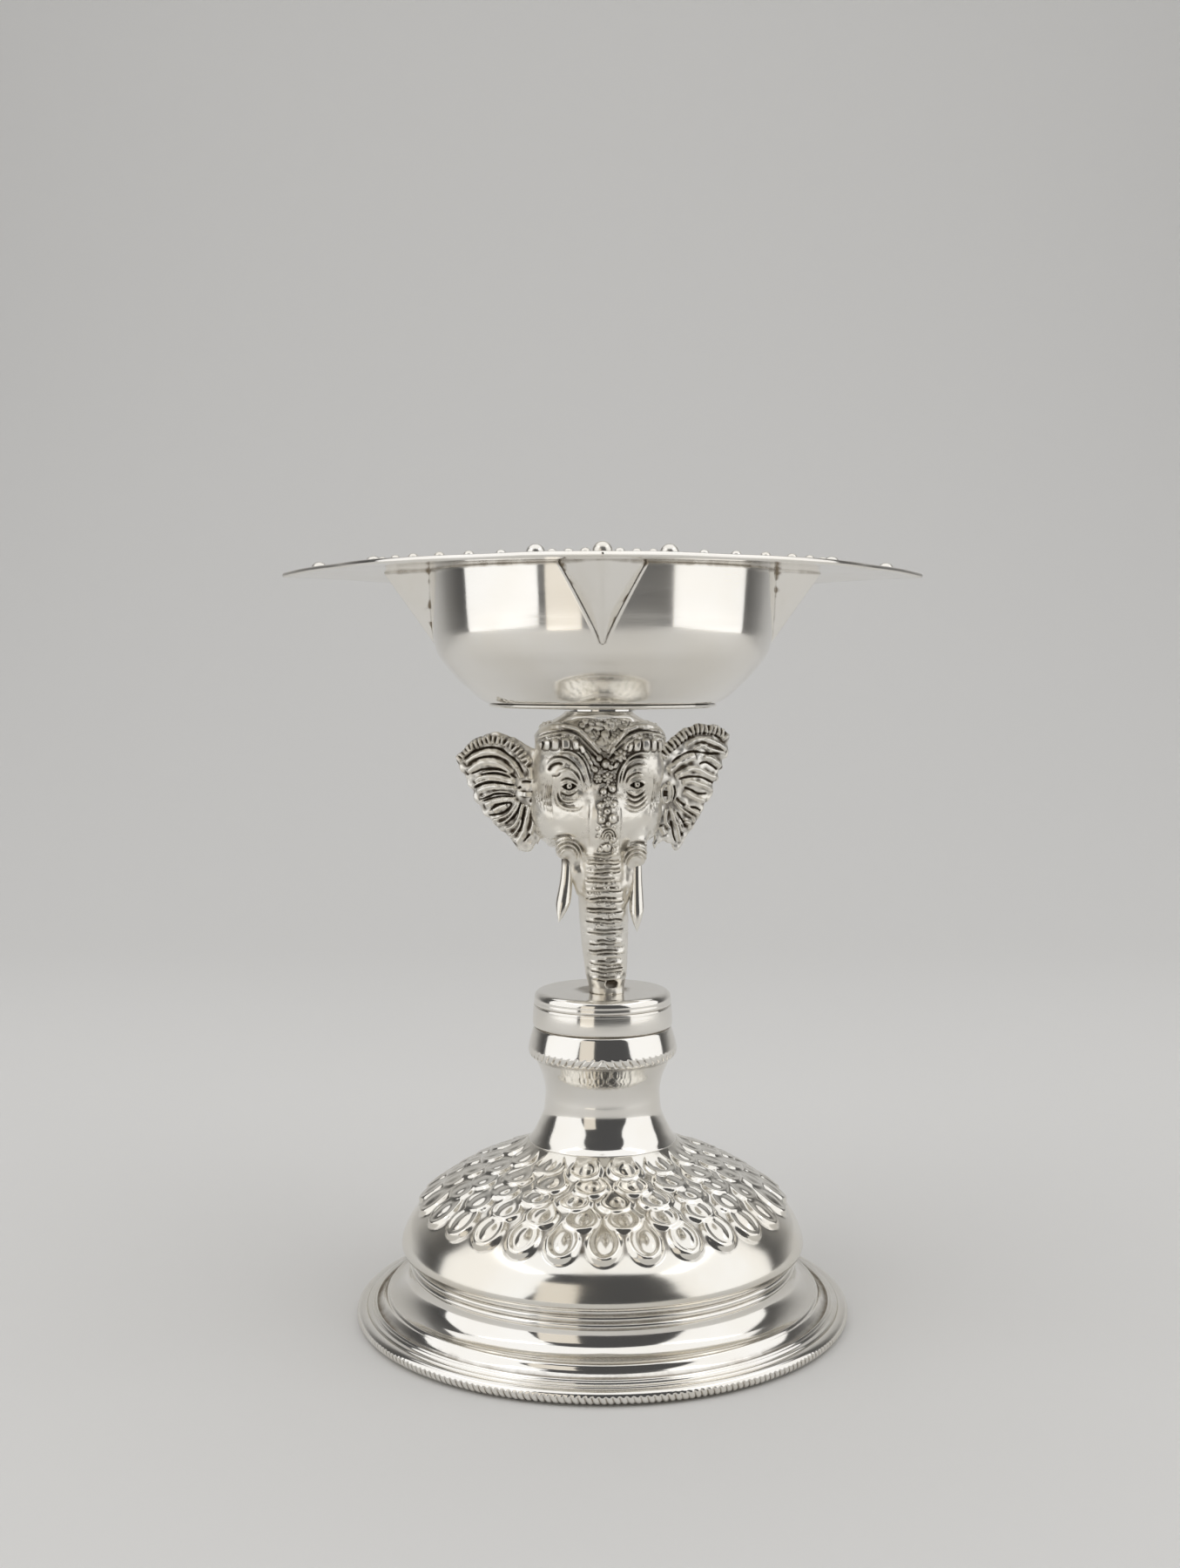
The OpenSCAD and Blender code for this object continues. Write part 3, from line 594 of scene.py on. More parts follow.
# Folds round the two eyes, which differ; x from the middle of the head and height
LEFT_EYE, RIGHT_EYE = np.array([-5.35, 83.05]), np.array([5.2, 83.2])
LEFT_FOLDS = [[[-6.8, 83.4], [-5.7, 84.0], [-4.1, 83.2]],
              [[-7.3, 85.0], [-5.8, 85.7], [-4.5, 84.7], [-3.6, 83.2]],
              [[-8.7, 85.9], [-8.2, 86.8], [-7.0, 87.3], [-5.4, 86.8], [-4.1, 85.4], [-3.3, 83.5],
               [-2.7, 82.2]],
              [[-7.6, 88.1], [-6.6, 88.4], [-5.0, 88.2], [-3.5, 87.0], [-2.6, 84.8], [-2.1, 82.6]],
              [[-6.5, 82.4], [-5.4, 81.9], [-4.0, 82.6]],
              [[-6.9, 82.9], [-6.6, 81.3], [-5.7, 80.7], [-4.1, 81.0]],
              [[-7.4, 82.6], [-7.0, 80.7], [-6.0, 79.7], [-4.1, 79.6], [-3.3, 80.4]]]
RIGHT_FOLDS = [[[3.6, 82.9], [4.1, 84.2], [5.2, 84.8], [6.3, 84.4]],
               [[3.0, 82.8], [3.6, 85.1], [5.05, 86.1], [6.9, 86.0]],
               [[2.5, 82.6], [3.15, 85.7], [4.7, 87.1], [7.1, 87.0]],
               [[2.0, 82.2], [2.5, 85.1], [3.9, 87.3], [5.7, 88.1], [7.6, 87.7]],
               [[3.6, 82.3], [5.05, 81.6], [6.6, 82.6]],
               [[3.3, 81.6], [5.05, 80.8], [7.0, 82.0]],
               [[3.0, 80.8], [5.2, 80.0], [7.3, 81.3]],
               [[2.7, 80.0], [5.2, 79.3], [7.6, 80.5]]]
# Flowers and beads of the string on the brow: x, height, radius
FLOWERS = [(-0.95, 84.2, 0.72), (0.55, 84.3, 0.9), (0.35, 80.7, 0.78), (2.6, 87.7, 1.05)]
STRING = [(-0.65, 87.3, 0.42), (0.3, 86.4, 0.55), (1.1, 85.9, 0.36), (-1.4, 85.6, 0.4), (1.2, 82.7, 0.5),
          (-0.2, 82.3, 0.42), (1.35, 80.4, 0.42), (-0.7, 80.2, 0.42), (0.2, 79.3, 0.4), (1.1, 78.2, 0.6),
          (-0.6, 78.0, 0.45), (0.35, 77.4, 0.34), (1.25, 74.9, 0.42), (0.3, 73.7, 0.55), (1.4, 73.3, 0.35),
          (-0.6, 73.4, 0.32)]
# Where each tusk leaves the mouth: x and height
MOUTH = {-1: (-5.5, 72.6), 1: (5.3, 71.4)}
# Teeth of the fringe under each lobe: x, height, half width, half height, lean
TEETH = [(-9.8, 89.1, 0.42, 0.75, 0.1), (-8.8, 89.4, 0.46, 0.8, 0.05), (-7.6, 89.5, 0.56, 0.85, 0.0),
         (-6.0, 89.6, 0.72, 0.9, 0.0), (-4.4, 89.4, 0.6, 0.85, -0.2), (-3.3, 88.7, 0.42, 0.7, -0.4),
         (-2.6, 87.7, 0.38, 0.6, -0.5), (-2.1, 86.7, 0.34, 0.5, -0.5), (-1.7, 85.8, 0.3, 0.45, -0.4),
         (1.4, 88.5, 0.4, 0.6, 0.4), (4.1, 88.9, 0.34, 0.7, 0.3), (5.1, 89.2, 0.55, 0.95, 0.1),
         (6.5, 89.4, 0.62, 1.0, 0.0), (7.8, 89.3, 0.5, 0.95, -0.05), (8.9, 89.1, 0.42, 0.8, -0.1),
         (1.9, 86.2, 0.34, 0.5, 0.5)]


def eye_form(r, eye):
    """An eyeball with a pupil in a narrow opening between two lids."""
    u, v = (r.x - eye[0]) / 1.15, (r.z - eye[1]) / 0.58
    almond = np.abs(u) ** 1.4 + np.abs(v) ** 1.4
    r.down = np.minimum(r.down, -0.38 * smooth(1.15, 0.8, almond))
    ball = 1 - ((r.x - eye[0]) ** 2 + (r.z - eye[1]) ** 2) / 0.5 ** 2
    r.up = np.maximum(r.up, 0.5 * np.sqrt(np.maximum(ball, 0)))
    r.up -= 0.4 * hill(np.hypot(r.x - eye[0] - 0.05, r.z - eye[1] - 0.05), 0.17)
    lids = [[-1.3, -0.1], [-0.55, 0.5], [0.5, 0.52], [1.3, 0.0]], [[-1.25, -0.2], [0, -0.72], [1.25, -0.1]]
    for lid in lids:
        r.line(curve(eye + np.array(lid), 0.15), 0.14, 0.32, 0.15)


def face(r):
    """Ornament of the head: caps with fringes, eyes with their folds, bead string and folds of the mouth."""
    for eye, folds in ((LEFT_EYE, LEFT_FOLDS), (RIGHT_EYE, RIGHT_FOLDS)):
        for k, f in enumerate(folds):
            r.fold(f, eye, 0.42 if k in (2, 3) else 0.3)
        eye_form(r, eye)
    r.line(curve([[-8.5, 85.3], [-8.0, 86.2], [-7.0, 86.6], [-6.2, 86.3]], 0.2), 0.2, -0.36, 0.15)
    r.line(curve([[-8.2, 84.7], [-7.2, 84.7], [-6.6, 85.3]], 0.2), 0.16, -0.28, 0.2)
    r.line(curve([[-6.4, 80.3], [-5.5, 79.95], [-4.3, 80.1]], 0.2), 0.2, -0.3, 0.2)
    for x, z, wide, tall, lean in TEETH:
        r.block((x, z), wide * RNG.uniform(0.9, 1.1), tall, lean, 0.34)
    for s in (-1, 1):
        # Rim of the skull cap, from the temple over the lobe to the point between the lobes
        rim = curve([[10.2 * s, 90.9], [8.2 * s, 91.7], [5.7 * s, 92.0], [3.7 * s, 91.4], [2.1 * s, 89.9],
                     [0.6 * s, 88.4]], 0.2)
        r.line(rim + [0.3 * s, -0.75], 0.14, 0.26)
        r.line(rim + [0.2 * s, -0.45], 0.12, -0.22)
        r.line(rim + [0.5 * s, -1.1], 0.18, -0.22)
        r.grains(26, (3.2 * s, 9.4 * s), (90.3, 91.1), (0.12, 0.26))
        # Hair at the temple
        for k in range(13):
            x = 7.7 + 0.24 * k + RNG.uniform(-0.08, 0.08)
            lock = [[x * s, 85.6 - 0.3 * k], [(x + 0.3) * s, 82], [(x - 0.1) * s, 77.6 + 0.28 * k]]
            r.line(curve(lock, 0.4), 0.11, -0.2, 0.3)
            r.line(curve(np.array(lock) + [0.12 * s, 0], 0.4), 0.1, 0.12, 0.3)
        # Folds of the mouth over the tusk, and the crease above them
        x, z = MOUTH[s]
        for k in range(3):
            for add, w, h in ((0.0, 0.2, 0.26), (0.27, 0.11, -0.2)):
                wide, tall = 1.3 + 0.5 * k + add, 1.5 + 0.62 * k + add
                r.line(arc((x, z - 0.7), wide, tall, -20, 200, 30), w, h, 0.3)
        crease = [[x - 1.3 * s, z + 2.2], [x, z + 2.8], [x + 1.5 * s, z + 2.5], [x + 2.4 * s, z + 1.6]]
        r.line(curve(crease, 0.2), 0.24, -0.42, 0.3)
        # Edge of the bridge of the nose
        side = [[2.2 * s, 81.6], [2.45 * s, 77], [2.45 * s, 72.9]]
        r.line(curve(side, 0.3), 0.12, -0.14, 0.3)
    r.grains(70, (-1.2, 1.9), (73.2, 87.4), (0.13, 0.27))
    for x, z, d in STRING:
        r.bead((x, z), 1.25 * d, 1.05 * d)
    for x, z, d in FLOWERS:
        r.rosette((x, z), d)
    # Three small arches over the root of the trunk
    for k in range(3):
        for less, w, h in ((0.0, 0.15, 0.36), (0.2, 0.1, -0.2)):
            r.line(arc((0.42, 75.2), 1.35 - less - 0.42 * k, 1.6 - less - 0.42 * k, 5, 175, 20), w, h)
    # Grains in the valley between the lobes
    r.grains(90, (-3.9, 4.5), (88.7, 93.0), (0.2, 0.5), 0.95)
    r.bead((0.5, 90.9), 0.75, 0.62)
    r.bead((-0.6, 91.9), 0.5, 0.45)


# Heights of the folds across the trunk, and the height from which short creases lie between them
TRUNK_FOLDS = (52.9, 54.1, 55.4, 57.1, 58.7, 60.5, 62.1, 63.8, 65.4, 67.0, 68.5, 70.0, 71.3, 72.4)
CREASED_FROM = 61


def trunk_folds(r, mid, half):
    """Thin ridges across the front of the trunk, each over a dark fold; none is quite like the next."""
    for z in TRUNK_FOLDS:
        c, w = np.interp(z, r.z[0], mid), np.interp(z, r.z[0], half)
        left, right = c - w * RNG.uniform(0.78, 0.9), c + w * RNG.uniform(0.68, 0.82)
        x = np.linspace(left, right, 6)
        wave = z + RNG.uniform(-0.14, 0.14, 6) + RNG.uniform(-0.06, 0.06) * (x - c)
        wave += 0.12 * ((x - c) / w) ** 2
        r.line(curve(np.column_stack([x, wave]), 0.25), RNG.uniform(0.15, 0.2), 0.26, 0.08)
        for lift in (-0.3, 0.3):
            ends = slice(RNG.integers(0, 2), 6 - RNG.integers(0, 2))
            fold = curve(np.column_stack([x, wave + lift])[ends], 0.25)
            r.line(fold, RNG.uniform(0.1, 0.14), RNG.uniform(-0.3, -0.2), 0.1)
        if z < CREASED_FROM:
            r.line(curve(np.column_stack([x, wave + 0.75])[2:6], 0.25), 0.26, -0.16, 0.2)
        else:
            near = lerp(left, right, RNG.uniform(0.1, 0.6))
            short = [[near, z - 0.5], [near + 0.8, z - 0.42], [near + RNG.uniform(1.4, 2.2), z - 0.52]]
            r.line(curve(short, 0.25), 0.1, -0.2, 0.25)
    r.grains(40, (-3.2, 1.4), (CREASED_FROM, 72), (0.12, 0.24))


# Oval sections of the trunk: height, middle x and y, half width, depth to the front and to the back
TRUNK = [[50.3, 0.35, -2.0, 2.72, 2.7, 2.6], [51.2, 0.33, -2.1, 2.74, 2.6, 2.6],
         [53.2, 0.2, -2.5, 3.2, 2.8, 2.8], [55, 0.1, -2.85, 3.36, 2.95, 3.0],
         [58, -0.15, -3.5, 3.6, 3.1, 3.2], [62, -0.4, -4.3, 3.82, 3.25, 3.5],
         [65.3, -0.65, -4.9, 3.8, 3.35, 3.7], [69, -0.85, -5.35, 3.58, 3.5, 3.9],
         [72.2, -0.95, -5.7, 3.32, 3.65, 4.0], [76, -0.95, -6.1, 2.85, 3.75, 3.5],
         [80, -0.95, -6.1, 2.6, 3.5, 3.5], [84, -0.95, -5.7, 2.3, 3.0, 3.0], [86, -0.95, -5.2, 2.0, 2.6, 2.6]]


def elephant():
    """The head and trunk, joined from soft forms, with the ornament standing out from their front."""
    step, hx = 0.12, HEAD_X
    c = Clay((-12.2, -12.0, Z_TRUNK), (10.4, 9.6, 93.4), step)
    # Skull, cheeks that turn outwards, brow and the two lobes of the cap
    c.loft([[73.6, hx, 0.4, 7.2, 6.0, 3.6], [75, hx, 0.2, 8.6, 6.4, 5.6], [78, hx, 0, 9.7, 6.6, 7.6],
            [82.5, hx, 0, 10.0, 7.9, 8.6], [87, hx, 0, 10.0, 7.9, 8.8], [89.8, hx, 0, 9.7, 6.9, 8.3],
            [91.6, hx, 0, 9.0, 5.8, 7.2], [93.3, hx, 0, 5.4, 5.1, 5.0]], 2.4, 0.6)
    c.loft(curve([[73.2, hx, 0, 7.4, 8.0, 4.0], [75, hx, 0, 9.5, 9.4, 5.0], [77.6, hx, 0, 10.3, 10.4, 7.0],
                  [80.2, hx, 0, 10.2, 10.2, 7.0], [83, hx, 0, 9.6, 8.6, 7.0]], 0.3), 1.55, 1.2)
    for s in (-1, 1):
        c.ball((hx + 5.2 * s, -4.5, 85.4), (4.7, 4.5, 4.6), 1.6)
        c.ball((hx + 6.0 * s, -4.4, 89.4), (4.4, 4.7, 3.1), 0.6, roll=0.36 * s)
        c.ball((hx + 5.9 * s, -3.5, 90.3), (4.0, 4.0, 2.1), 0.6)
        # Cord along the edge of the lobe
        cord = curve([[9.9, -3.6, 90.7], [8.3, -6.3, 91.8], [6.3, -7.3, 92.2], [4.2, -7.5, 91.8],
                      [2.4, -7.9, 90.3], [0.7, -8.4, 88.4]], 0.9)
        for a, b in zip(cord, cord[1:]):
            c.rod((hx + s * a[0], a[1], a[2]), (hx + s * b[0], b[1], b[2]), 0.36, 0.36, 0.25)
        c.ball((hx + 5.1 * s, -10.0, 82.9), (2.3, 1.6, 1.7), 1.0, way=-1)
        # Hood of the mouth over the tusk, and the lip between tusk and trunk
        x, z = MOUTH[s]
        c.rod((hx + 5.2 * s, -4.7, 75.4), (hx + x, -5.9, z + 0.6), 2.1, 1.75, 0.9)
        c.rod((hx + 4.5 * s, -5.6, z + 0.4), (hx + 4.1 * s, -5.9, z - 3.2), 1.35, 1.0, 0.7)
        c.rod((hx + 4.1 * s, -5.9, z - 3.2), (hx + 3.6 * s, -6.0, z - 6.0), 1.0, 0.4, 0.7)
    c.loft(TRUNK, 2.3, 1.1)
    x, y, z = c.axes
    # Facing forward share of each place, for the ornament
    near = np.clip(c.d, -1.5, 1.5)
    front = smooth(0.1, 0.5, -np.gradient(near, step, axis=1))
    r = Relief(x - hx, z)
    face(r)
    h = r.up + np.where(r.up > 0.2, 0.35, 1.0) * r.down
    # Hand-made unevenness, less on the polished cheeks
    plain_cheek = np.zeros_like(h)
    for s in (-1, 1):
        plain_cheek += hill(np.hypot((r.x - 5.6 * s) / 3.2, (r.z - 76.8) / 2.4), 1.0)
    plain_cheek = np.clip(plain_cheek, 0, 1)
    wander = 0.035 * mottle(h.shape, 2) * (1 - 0.9 * plain_cheek)
    # Folds across the front of the trunk
    rows = np.array(TRUNK)
    mid, half = np.interp(z, rows[:, 0], rows[:, 1]), np.interp(z, rows[:, 0], rows[:, 3])
    u = (x[:, None] - mid) / half
    t = Relief(x, z)
    trunk_folds(t, mid, half)
    ribs = t.up + np.where(t.up > 0.12, 0.35, 1.0) * t.down
    panel = smooth(0.9, 0.76, np.abs(u)) * smooth(51.6, 52.4, z) * smooth(73.2, 72.4, z)
    mark = np.abs((x[:, None] - 0.75) / 1.0) ** 3 + np.abs((z[None, :] - 51.9) / 0.62) ** 3
    ribs = ribs * panel - 0.4 * smooth(1.05, 0.6, mark)
    h = np.where((z[None, :] < 72.9) & (np.abs(u) < 0.95), ribs, h) + wander
    c.d -= (h[:, None, :] * front).astype(np.float32)
    # Soft strands on the back of the head
    back = smooth(0.15, 0.6, np.gradient(near, step, axis=1))
    strands = np.abs(np.sin((x[:, None] - hx) * 2.4 + 0.35 * np.sin(z[None, :] * 0.6))) * smooth(75, 78, z)
    c.d += (0.12 * strands[:, None, :] * back).astype(np.float32)
    tight = np.clip(c.d, -0.9, 0.9)
    pts, quads, at = skin(tight, 0.9)
    # Patina in the hollows, the grooves of the ornament, the string and the brow, with painted shade in the
    # broad hollows
    deep = 0.6 * np.clip(-blur(tight, 2, (0, 1, 2))[at] / 0.13, 0, 1)
    # Painted shade: a wide blur of the distances darkens the broad hollows of head and trunk as if they lay
    # in shadow
    deep = np.maximum(deep, 0.55 * np.clip(-blur(np.clip(c.d, -2, 2), 5, (0, 1, 2))[at] / 0.5, 0, 1))
    ink = np.clip(-h / 0.42, 0, 1)[at[0], at[2]] * front[at]
    string = hill((x[:, None] - hx - 0.15) / 1.9, 1.0) * smooth(72.5, 74, z) * smooth(89.5, 87, z)
    string = np.maximum(string, panel * smooth(74, 68, z))
    deep = np.maximum(deep, 0.8 * ink) + 0.2 * (string[at[0], at[2]] * front[at])
    deep += 0.22 * smooth(79, 81, z)[at[2]] * (1 - smooth(93, 94, z)[at[2]])
    p = pts * step + c.lo
    v = np.column_stack([*facing(p[:, 0], p[:, 1]), p[:, 2]])
    piece("elephant", v, quads, deep, "base", "antique_silver", "elephant_casting",
          satin=1 - 0.75 * plain_cheek[at[0], at[2]])


# Ears as seen from the front, in millimetres out from the seat and up from the hub: outline, middle of the
# notched border, ridges and grooves, each with its half width
LEFT_EAR = (
    [[-0.66, 7.0], [0.25, 7.15], [1.9, 8.1], [3.6, 9.05], [5.3, 9.5], [7.4, 9.65], [8.9, 9.2],
     [10.3, 8.5], [11.7, 7.5], [12.9, 6.2], [13.3, 5.25], [13.1, 4.6], [12.0, 3.05], [10.9, 1.0],
     [10.35, 0.1], [10.15, -0.8], [9.6, -1.65], [8.6, -3.1], [7.65, -3.9], [6.4, -5.15], [5.3, -6.25],
     [4.15, -7.2], [3.3, -8.3], [2.35, -8.95], [1.1, -8.85], [0.1, -7.9], [-0.66, -7.0]],
    [[12.9, 5.5], [12.2, 6.3], [10.6, 7.5], [8.9, 8.3], [7.4, 8.6], [5.8, 8.5], [4.2, 7.9], [3.0, 7.0],
     [2.0, 6.0], [1.2, 5.0]],
    [(0.42, [[11.8, 4.7], [10.0, 5.9], [8.2, 6.65], [6.4, 6.5], [4.7, 5.8], [3.6, 4.8], [2.9, 4.0]]),
     (0.5, [[11.4, 3.2], [9.6, 4.6], [7.9, 5.1], [6.4, 5.0], [4.7, 4.2], [3.6, 3.2]]),
     (0.18, [[8.9, 3.3], [7.5, 3.6], [5.8, 3.6], [4.4, 3.2], [3.3, 2.5]]),
     (0.36, [[10.1, 1.8], [9.2, 2.5], [7.5, 2.8], [5.8, 2.7], [4.1, 2.2], [3.2, 1.9]]),
     (0.16, [[10.5, 1.1], [9.0, 1.85], [7.5, 2.25], [5.8, 2.15], [4.1, 1.8], [3.2, 1.8]]),
     (0.42, [[9.7, 0.3], [7.9, 1.0], [6.4, 1.2], [4.4, 1.1], [3.0, 0.75]]),
     (0.16, [[9.0, -0.75], [7.6, -0.1], [6.4, 0.35], [4.4, 0.35], [3.2, -0.2]]),
     (0.4, [[8.4, -1.8], [6.6, -1.1], [4.7, -0.8], [2.9, -0.8]]),
     (0.36, [[6.9, -2.7], [5.8, -2.1], [4.5, -1.7]]),
     (0.2, [[7.1, -4.1], [5.8, -3.8], [4.4, -3.1], [3.3, -1.8], [2.7, -0.9]]),
     (0.22, [[6.4, -4.9], [4.7, -4.2], [3.6, -3.1], [2.8, -1.8], [2.5, -0.9]]),
     (0.24, [[5.0, -5.6], [3.6, -5.0], [2.7, -3.75], [2.3, -2.4], [2.0, -1.3]]),
     (0.2, [[4.4, -6.75], [3.3, -6.1], [2.5, -5.0], [2.2, -3.75]]),
     (0.4, [[3.2, -7.8], [2.0, -6.2], [1.5, -4.4], [1.1, -2.8], [0.8, -1.6]]),
     (0.35, [[0.8, -6.3], [0.2, -4.4], [0.4, -2.4]]), (0.34, [[3.0, 4.2], [2.6, 3.3], [2.2, 2.5]]),
     (0.3, [[1.0, 4.4], [0.8, 3.4], [0.9, 2.4]]), (0.6, [[1.5, 0.45], [1.55, -0.35]])],
    [(0.16, [[12.1, 5.1], [10.5, 6.5], [8.9, 7.1], [7.6, 7.4], [5.8, 7.2], [4.4, 6.3], [3.4, 5.6],
             [2.6, 4.6], [1.8, 3.1]]),
     (0.14, [[11.4, 4.5], [10.3, 5.3], [9.2, 5.7], [7.5, 5.95], [5.8, 5.85], [4.4, 5.2], [3.4, 4.5]]),
     (0.15, [[11.7, 3.0], [10.0, 3.4], [8.9, 3.85], [7.2, 4.05], [5.8, 3.95], [4.4, 3.5], [3.6, 2.9],
             [2.8, 2.5]]),
     (0.12, [[9.0, 3.0], [7.5, 3.25], [5.8, 3.2], [4.6, 2.9]]),
     (0.16, [[10.4, 0.8], [8.6, 1.6], [7.2, 1.9], [5.5, 1.8], [3.9, 1.55], [3.2, 1.5]]),
     (0.16, [[9.3, -0.95], [7.9, -0.45], [6.4, 0.05], [3.9, 0.05], [3.0, -0.5]]),
     (0.12, [[8.8, -1.2], [7.2, -0.65], [5.5, -0.3], [3.9, -0.3], [3.2, -0.6]]),
     (0.15, [[7.6, -2.8], [6.4, -1.85], [5.0, -1.4], [3.9, -1.35], [4.1, -2.0], [5.1, -2.85], [6.4, -3.2],
             [7.5, -3.3], [7.6, -2.8]]),
     (0.16, [[5.0, -4.7], [3.6, -3.6], [2.7, -2.4], [2.3, -1.0]]),
     (0.17, [[3.4, -6.3], [2.3, -5.1], [1.95, -3.5], [1.6, -1.7]]),
     (0.16, [[1.9, -7.4], [0.9, -6.2], [0.4, -5.4]]), (0.24, [[0.45, 0.7], [0.35, -0.4], [0.9, -1.2]]),
     (0.3, [[2.6, 1.3], [2.5, 0.9]]), (0.2, [[2.2, 2.0], [1.4, 2.1], [0.6, 2.0]])])
RIGHT_EAR = (
    [[-0.66, 6.8], [0.7, 7.1], [1.8, 8.25], [4.0, 9.85], [5.6, 10.65], [7.0, 10.95], [9.4, 10.9],
     [11.0, 10.65], [12.2, 10.2], [12.95, 9.5], [13.2, 8.6], [12.85, 7.75], [13.15, 6.6], [12.75, 5.7],
     [11.9, 4.95], [11.95, 3.8], [11.1, 3.2], [11.2, 2.0], [10.2, 1.2], [10.05, -0.1], [9.4, -0.95],
     [8.6, -1.85], [8.1, -3.0], [7.2, -4.3], [6.7, -5.3], [5.6, -6.55], [4.8, -7.7], [4.0, -8.8],
     [3.4, -9.2], [2.8, -8.7], [2.3, -8.05], [1.4, -7.7], [0.3, -7.9], [-0.66, -7.7]],
    [[12.5, 8.9], [11.8, 9.5], [10.5, 9.95], [8.8, 10.25], [7.0, 10.25], [5.5, 9.8], [4.0, 8.9],
     [2.6, 7.8], [1.5, 6.9], [0.8, 6.2]],
    [(0.36, [[4.7, 7.4], [6.4, 8.4], [8.1, 8.55], [9.5, 8.3], [11.3, 7.5], [12.7, 6.6]]),
     (0.3, [[6.2, 6.9], [7.8, 7.6], [9.1, 7.0], [10.6, 6.6], [12.4, 6.1]]),
     (0.6, [[1.7, 3.4], [3.4, 4.6], [5.0, 5.4], [6.7, 5.9]]),
     (0.38, [[8.1, 5.7], [9.5, 5.4], [11.0, 4.5], [11.6, 3.9]]),
     (0.4, [[2.9, 2.6], [4.7, 3.5], [6.2, 3.8], [7.8, 3.4], [9.4, 2.6], [10.7, 2.2]]),
     (0.34, [[4.2, 1.6], [5.9, 1.8], [7.5, 1.3], [9.4, 0.6], [9.8, 0.1]]),
     (0.34, [[4.5, 0.3], [6.1, -0.6], [7.5, -1.2], [8.6, -1.4]]),
     (0.2, [[2.8, -1.0], [3.9, -2.4], [5.3, -3.4], [6.2, -4.0], [6.5, -4.9]]),
     (0.3, [[4.6, -1.9], [6.0, -2.9], [7.4, -3.5]]),
     (0.26, [[2.1, -2.1], [2.9, -4.3], [3.6, -6.3], [3.9, -7.9]]),
     (0.18, [[2.8, -2.7], [3.7, -4.7], [4.35, -6.4]]),
     (0.28, [[4.5, -4.6], [5.5, -4.9], [5.8, -5.8]]), (0.26, [[1.5, -2.4], [1.35, -4.3], [1.9, -5.4]]),
     (0.4, [[0.5, -5.2], [1.2, -6.6]]), (0.18, [[1.7, 1.85], [2.45, 1.0], [2.6, -0.3], [2.15, -1.4]]),
     (0.22, [[1.5, 1.5], [0.75, 0.6], [0.65, -0.6], [1.2, -1.45], [1.9, -1.1], [2.1, 0.0], [1.9, 1.0],
             [1.5, 1.5]])],
    [(0.16, [[1.4, 6.2], [2.7, 6.9], [4.0, 7.9], [5.6, 9.0], [7.0, 9.5], [8.8, 9.5], [10.3, 9.15],
             [11.7, 8.4]]),
     (0.16, [[2.1, 4.7], [3.4, 5.6], [4.7, 6.3], [6.1, 6.6], [7.8, 6.4], [9.4, 6.2], [11.3, 6.2],
             [12.6, 5.8]]),
     (0.16, [[7.2, 4.5], [8.4, 4.85], [9.7, 4.3], [10.9, 3.5]]),
     (0.18, [[3.4, 2.1], [4.8, 2.5], [6.2, 2.6], [7.8, 2.4], [9.4, 1.7], [10.4, 1.3]]),
     (0.18, [[4.5, 0.9], [5.8, 0.5], [6.7, 0.0], [7.5, -0.2], [8.8, -0.2]]),
     (0.28, [[3.2, -0.7], [4.2, -1.6], [5.1, -2.2]]), (0.15, [[5.6, -2.3], [6.7, -2.4], [7.6, -3.0]]),
     (0.16, [[3.3, -2.9], [4.2, -4.2], [5.0, -5.6]]), (0.17, [[3.1, -3.3], [4.0, -5.2], [4.3, -7.0]]),
     (0.17, [[2.2, -4.2], [2.7, -6.4], [3.2, -7.9]]), (0.4, [[1.35, 0.5], [1.3, -0.5]]),
     (0.15, [[2.9, 1.3], [3.1, 0.2], [2.7, -1.0]])])


def inside(line, x, z):
    """Distance of each place from a closed line, positive within it."""
    near = np.full((len(x), len(z)), FAR)
    odd = np.zeros(near.shape, bool)
    for a, b in zip(line, np.roll(line, -1, axis=0)):
        near = np.minimum(near, run_gap(x[:, None], z, a, b)[0])
        between = (z > min(a[1], b[1])) & (z <= max(a[1], b[1]))
        if between.any():
            odd ^= between & (x[:, None] < a[0] + (z - a[1]) * (b - a)[0] / (b - a)[1])
    return np.where(odd, near, -near)


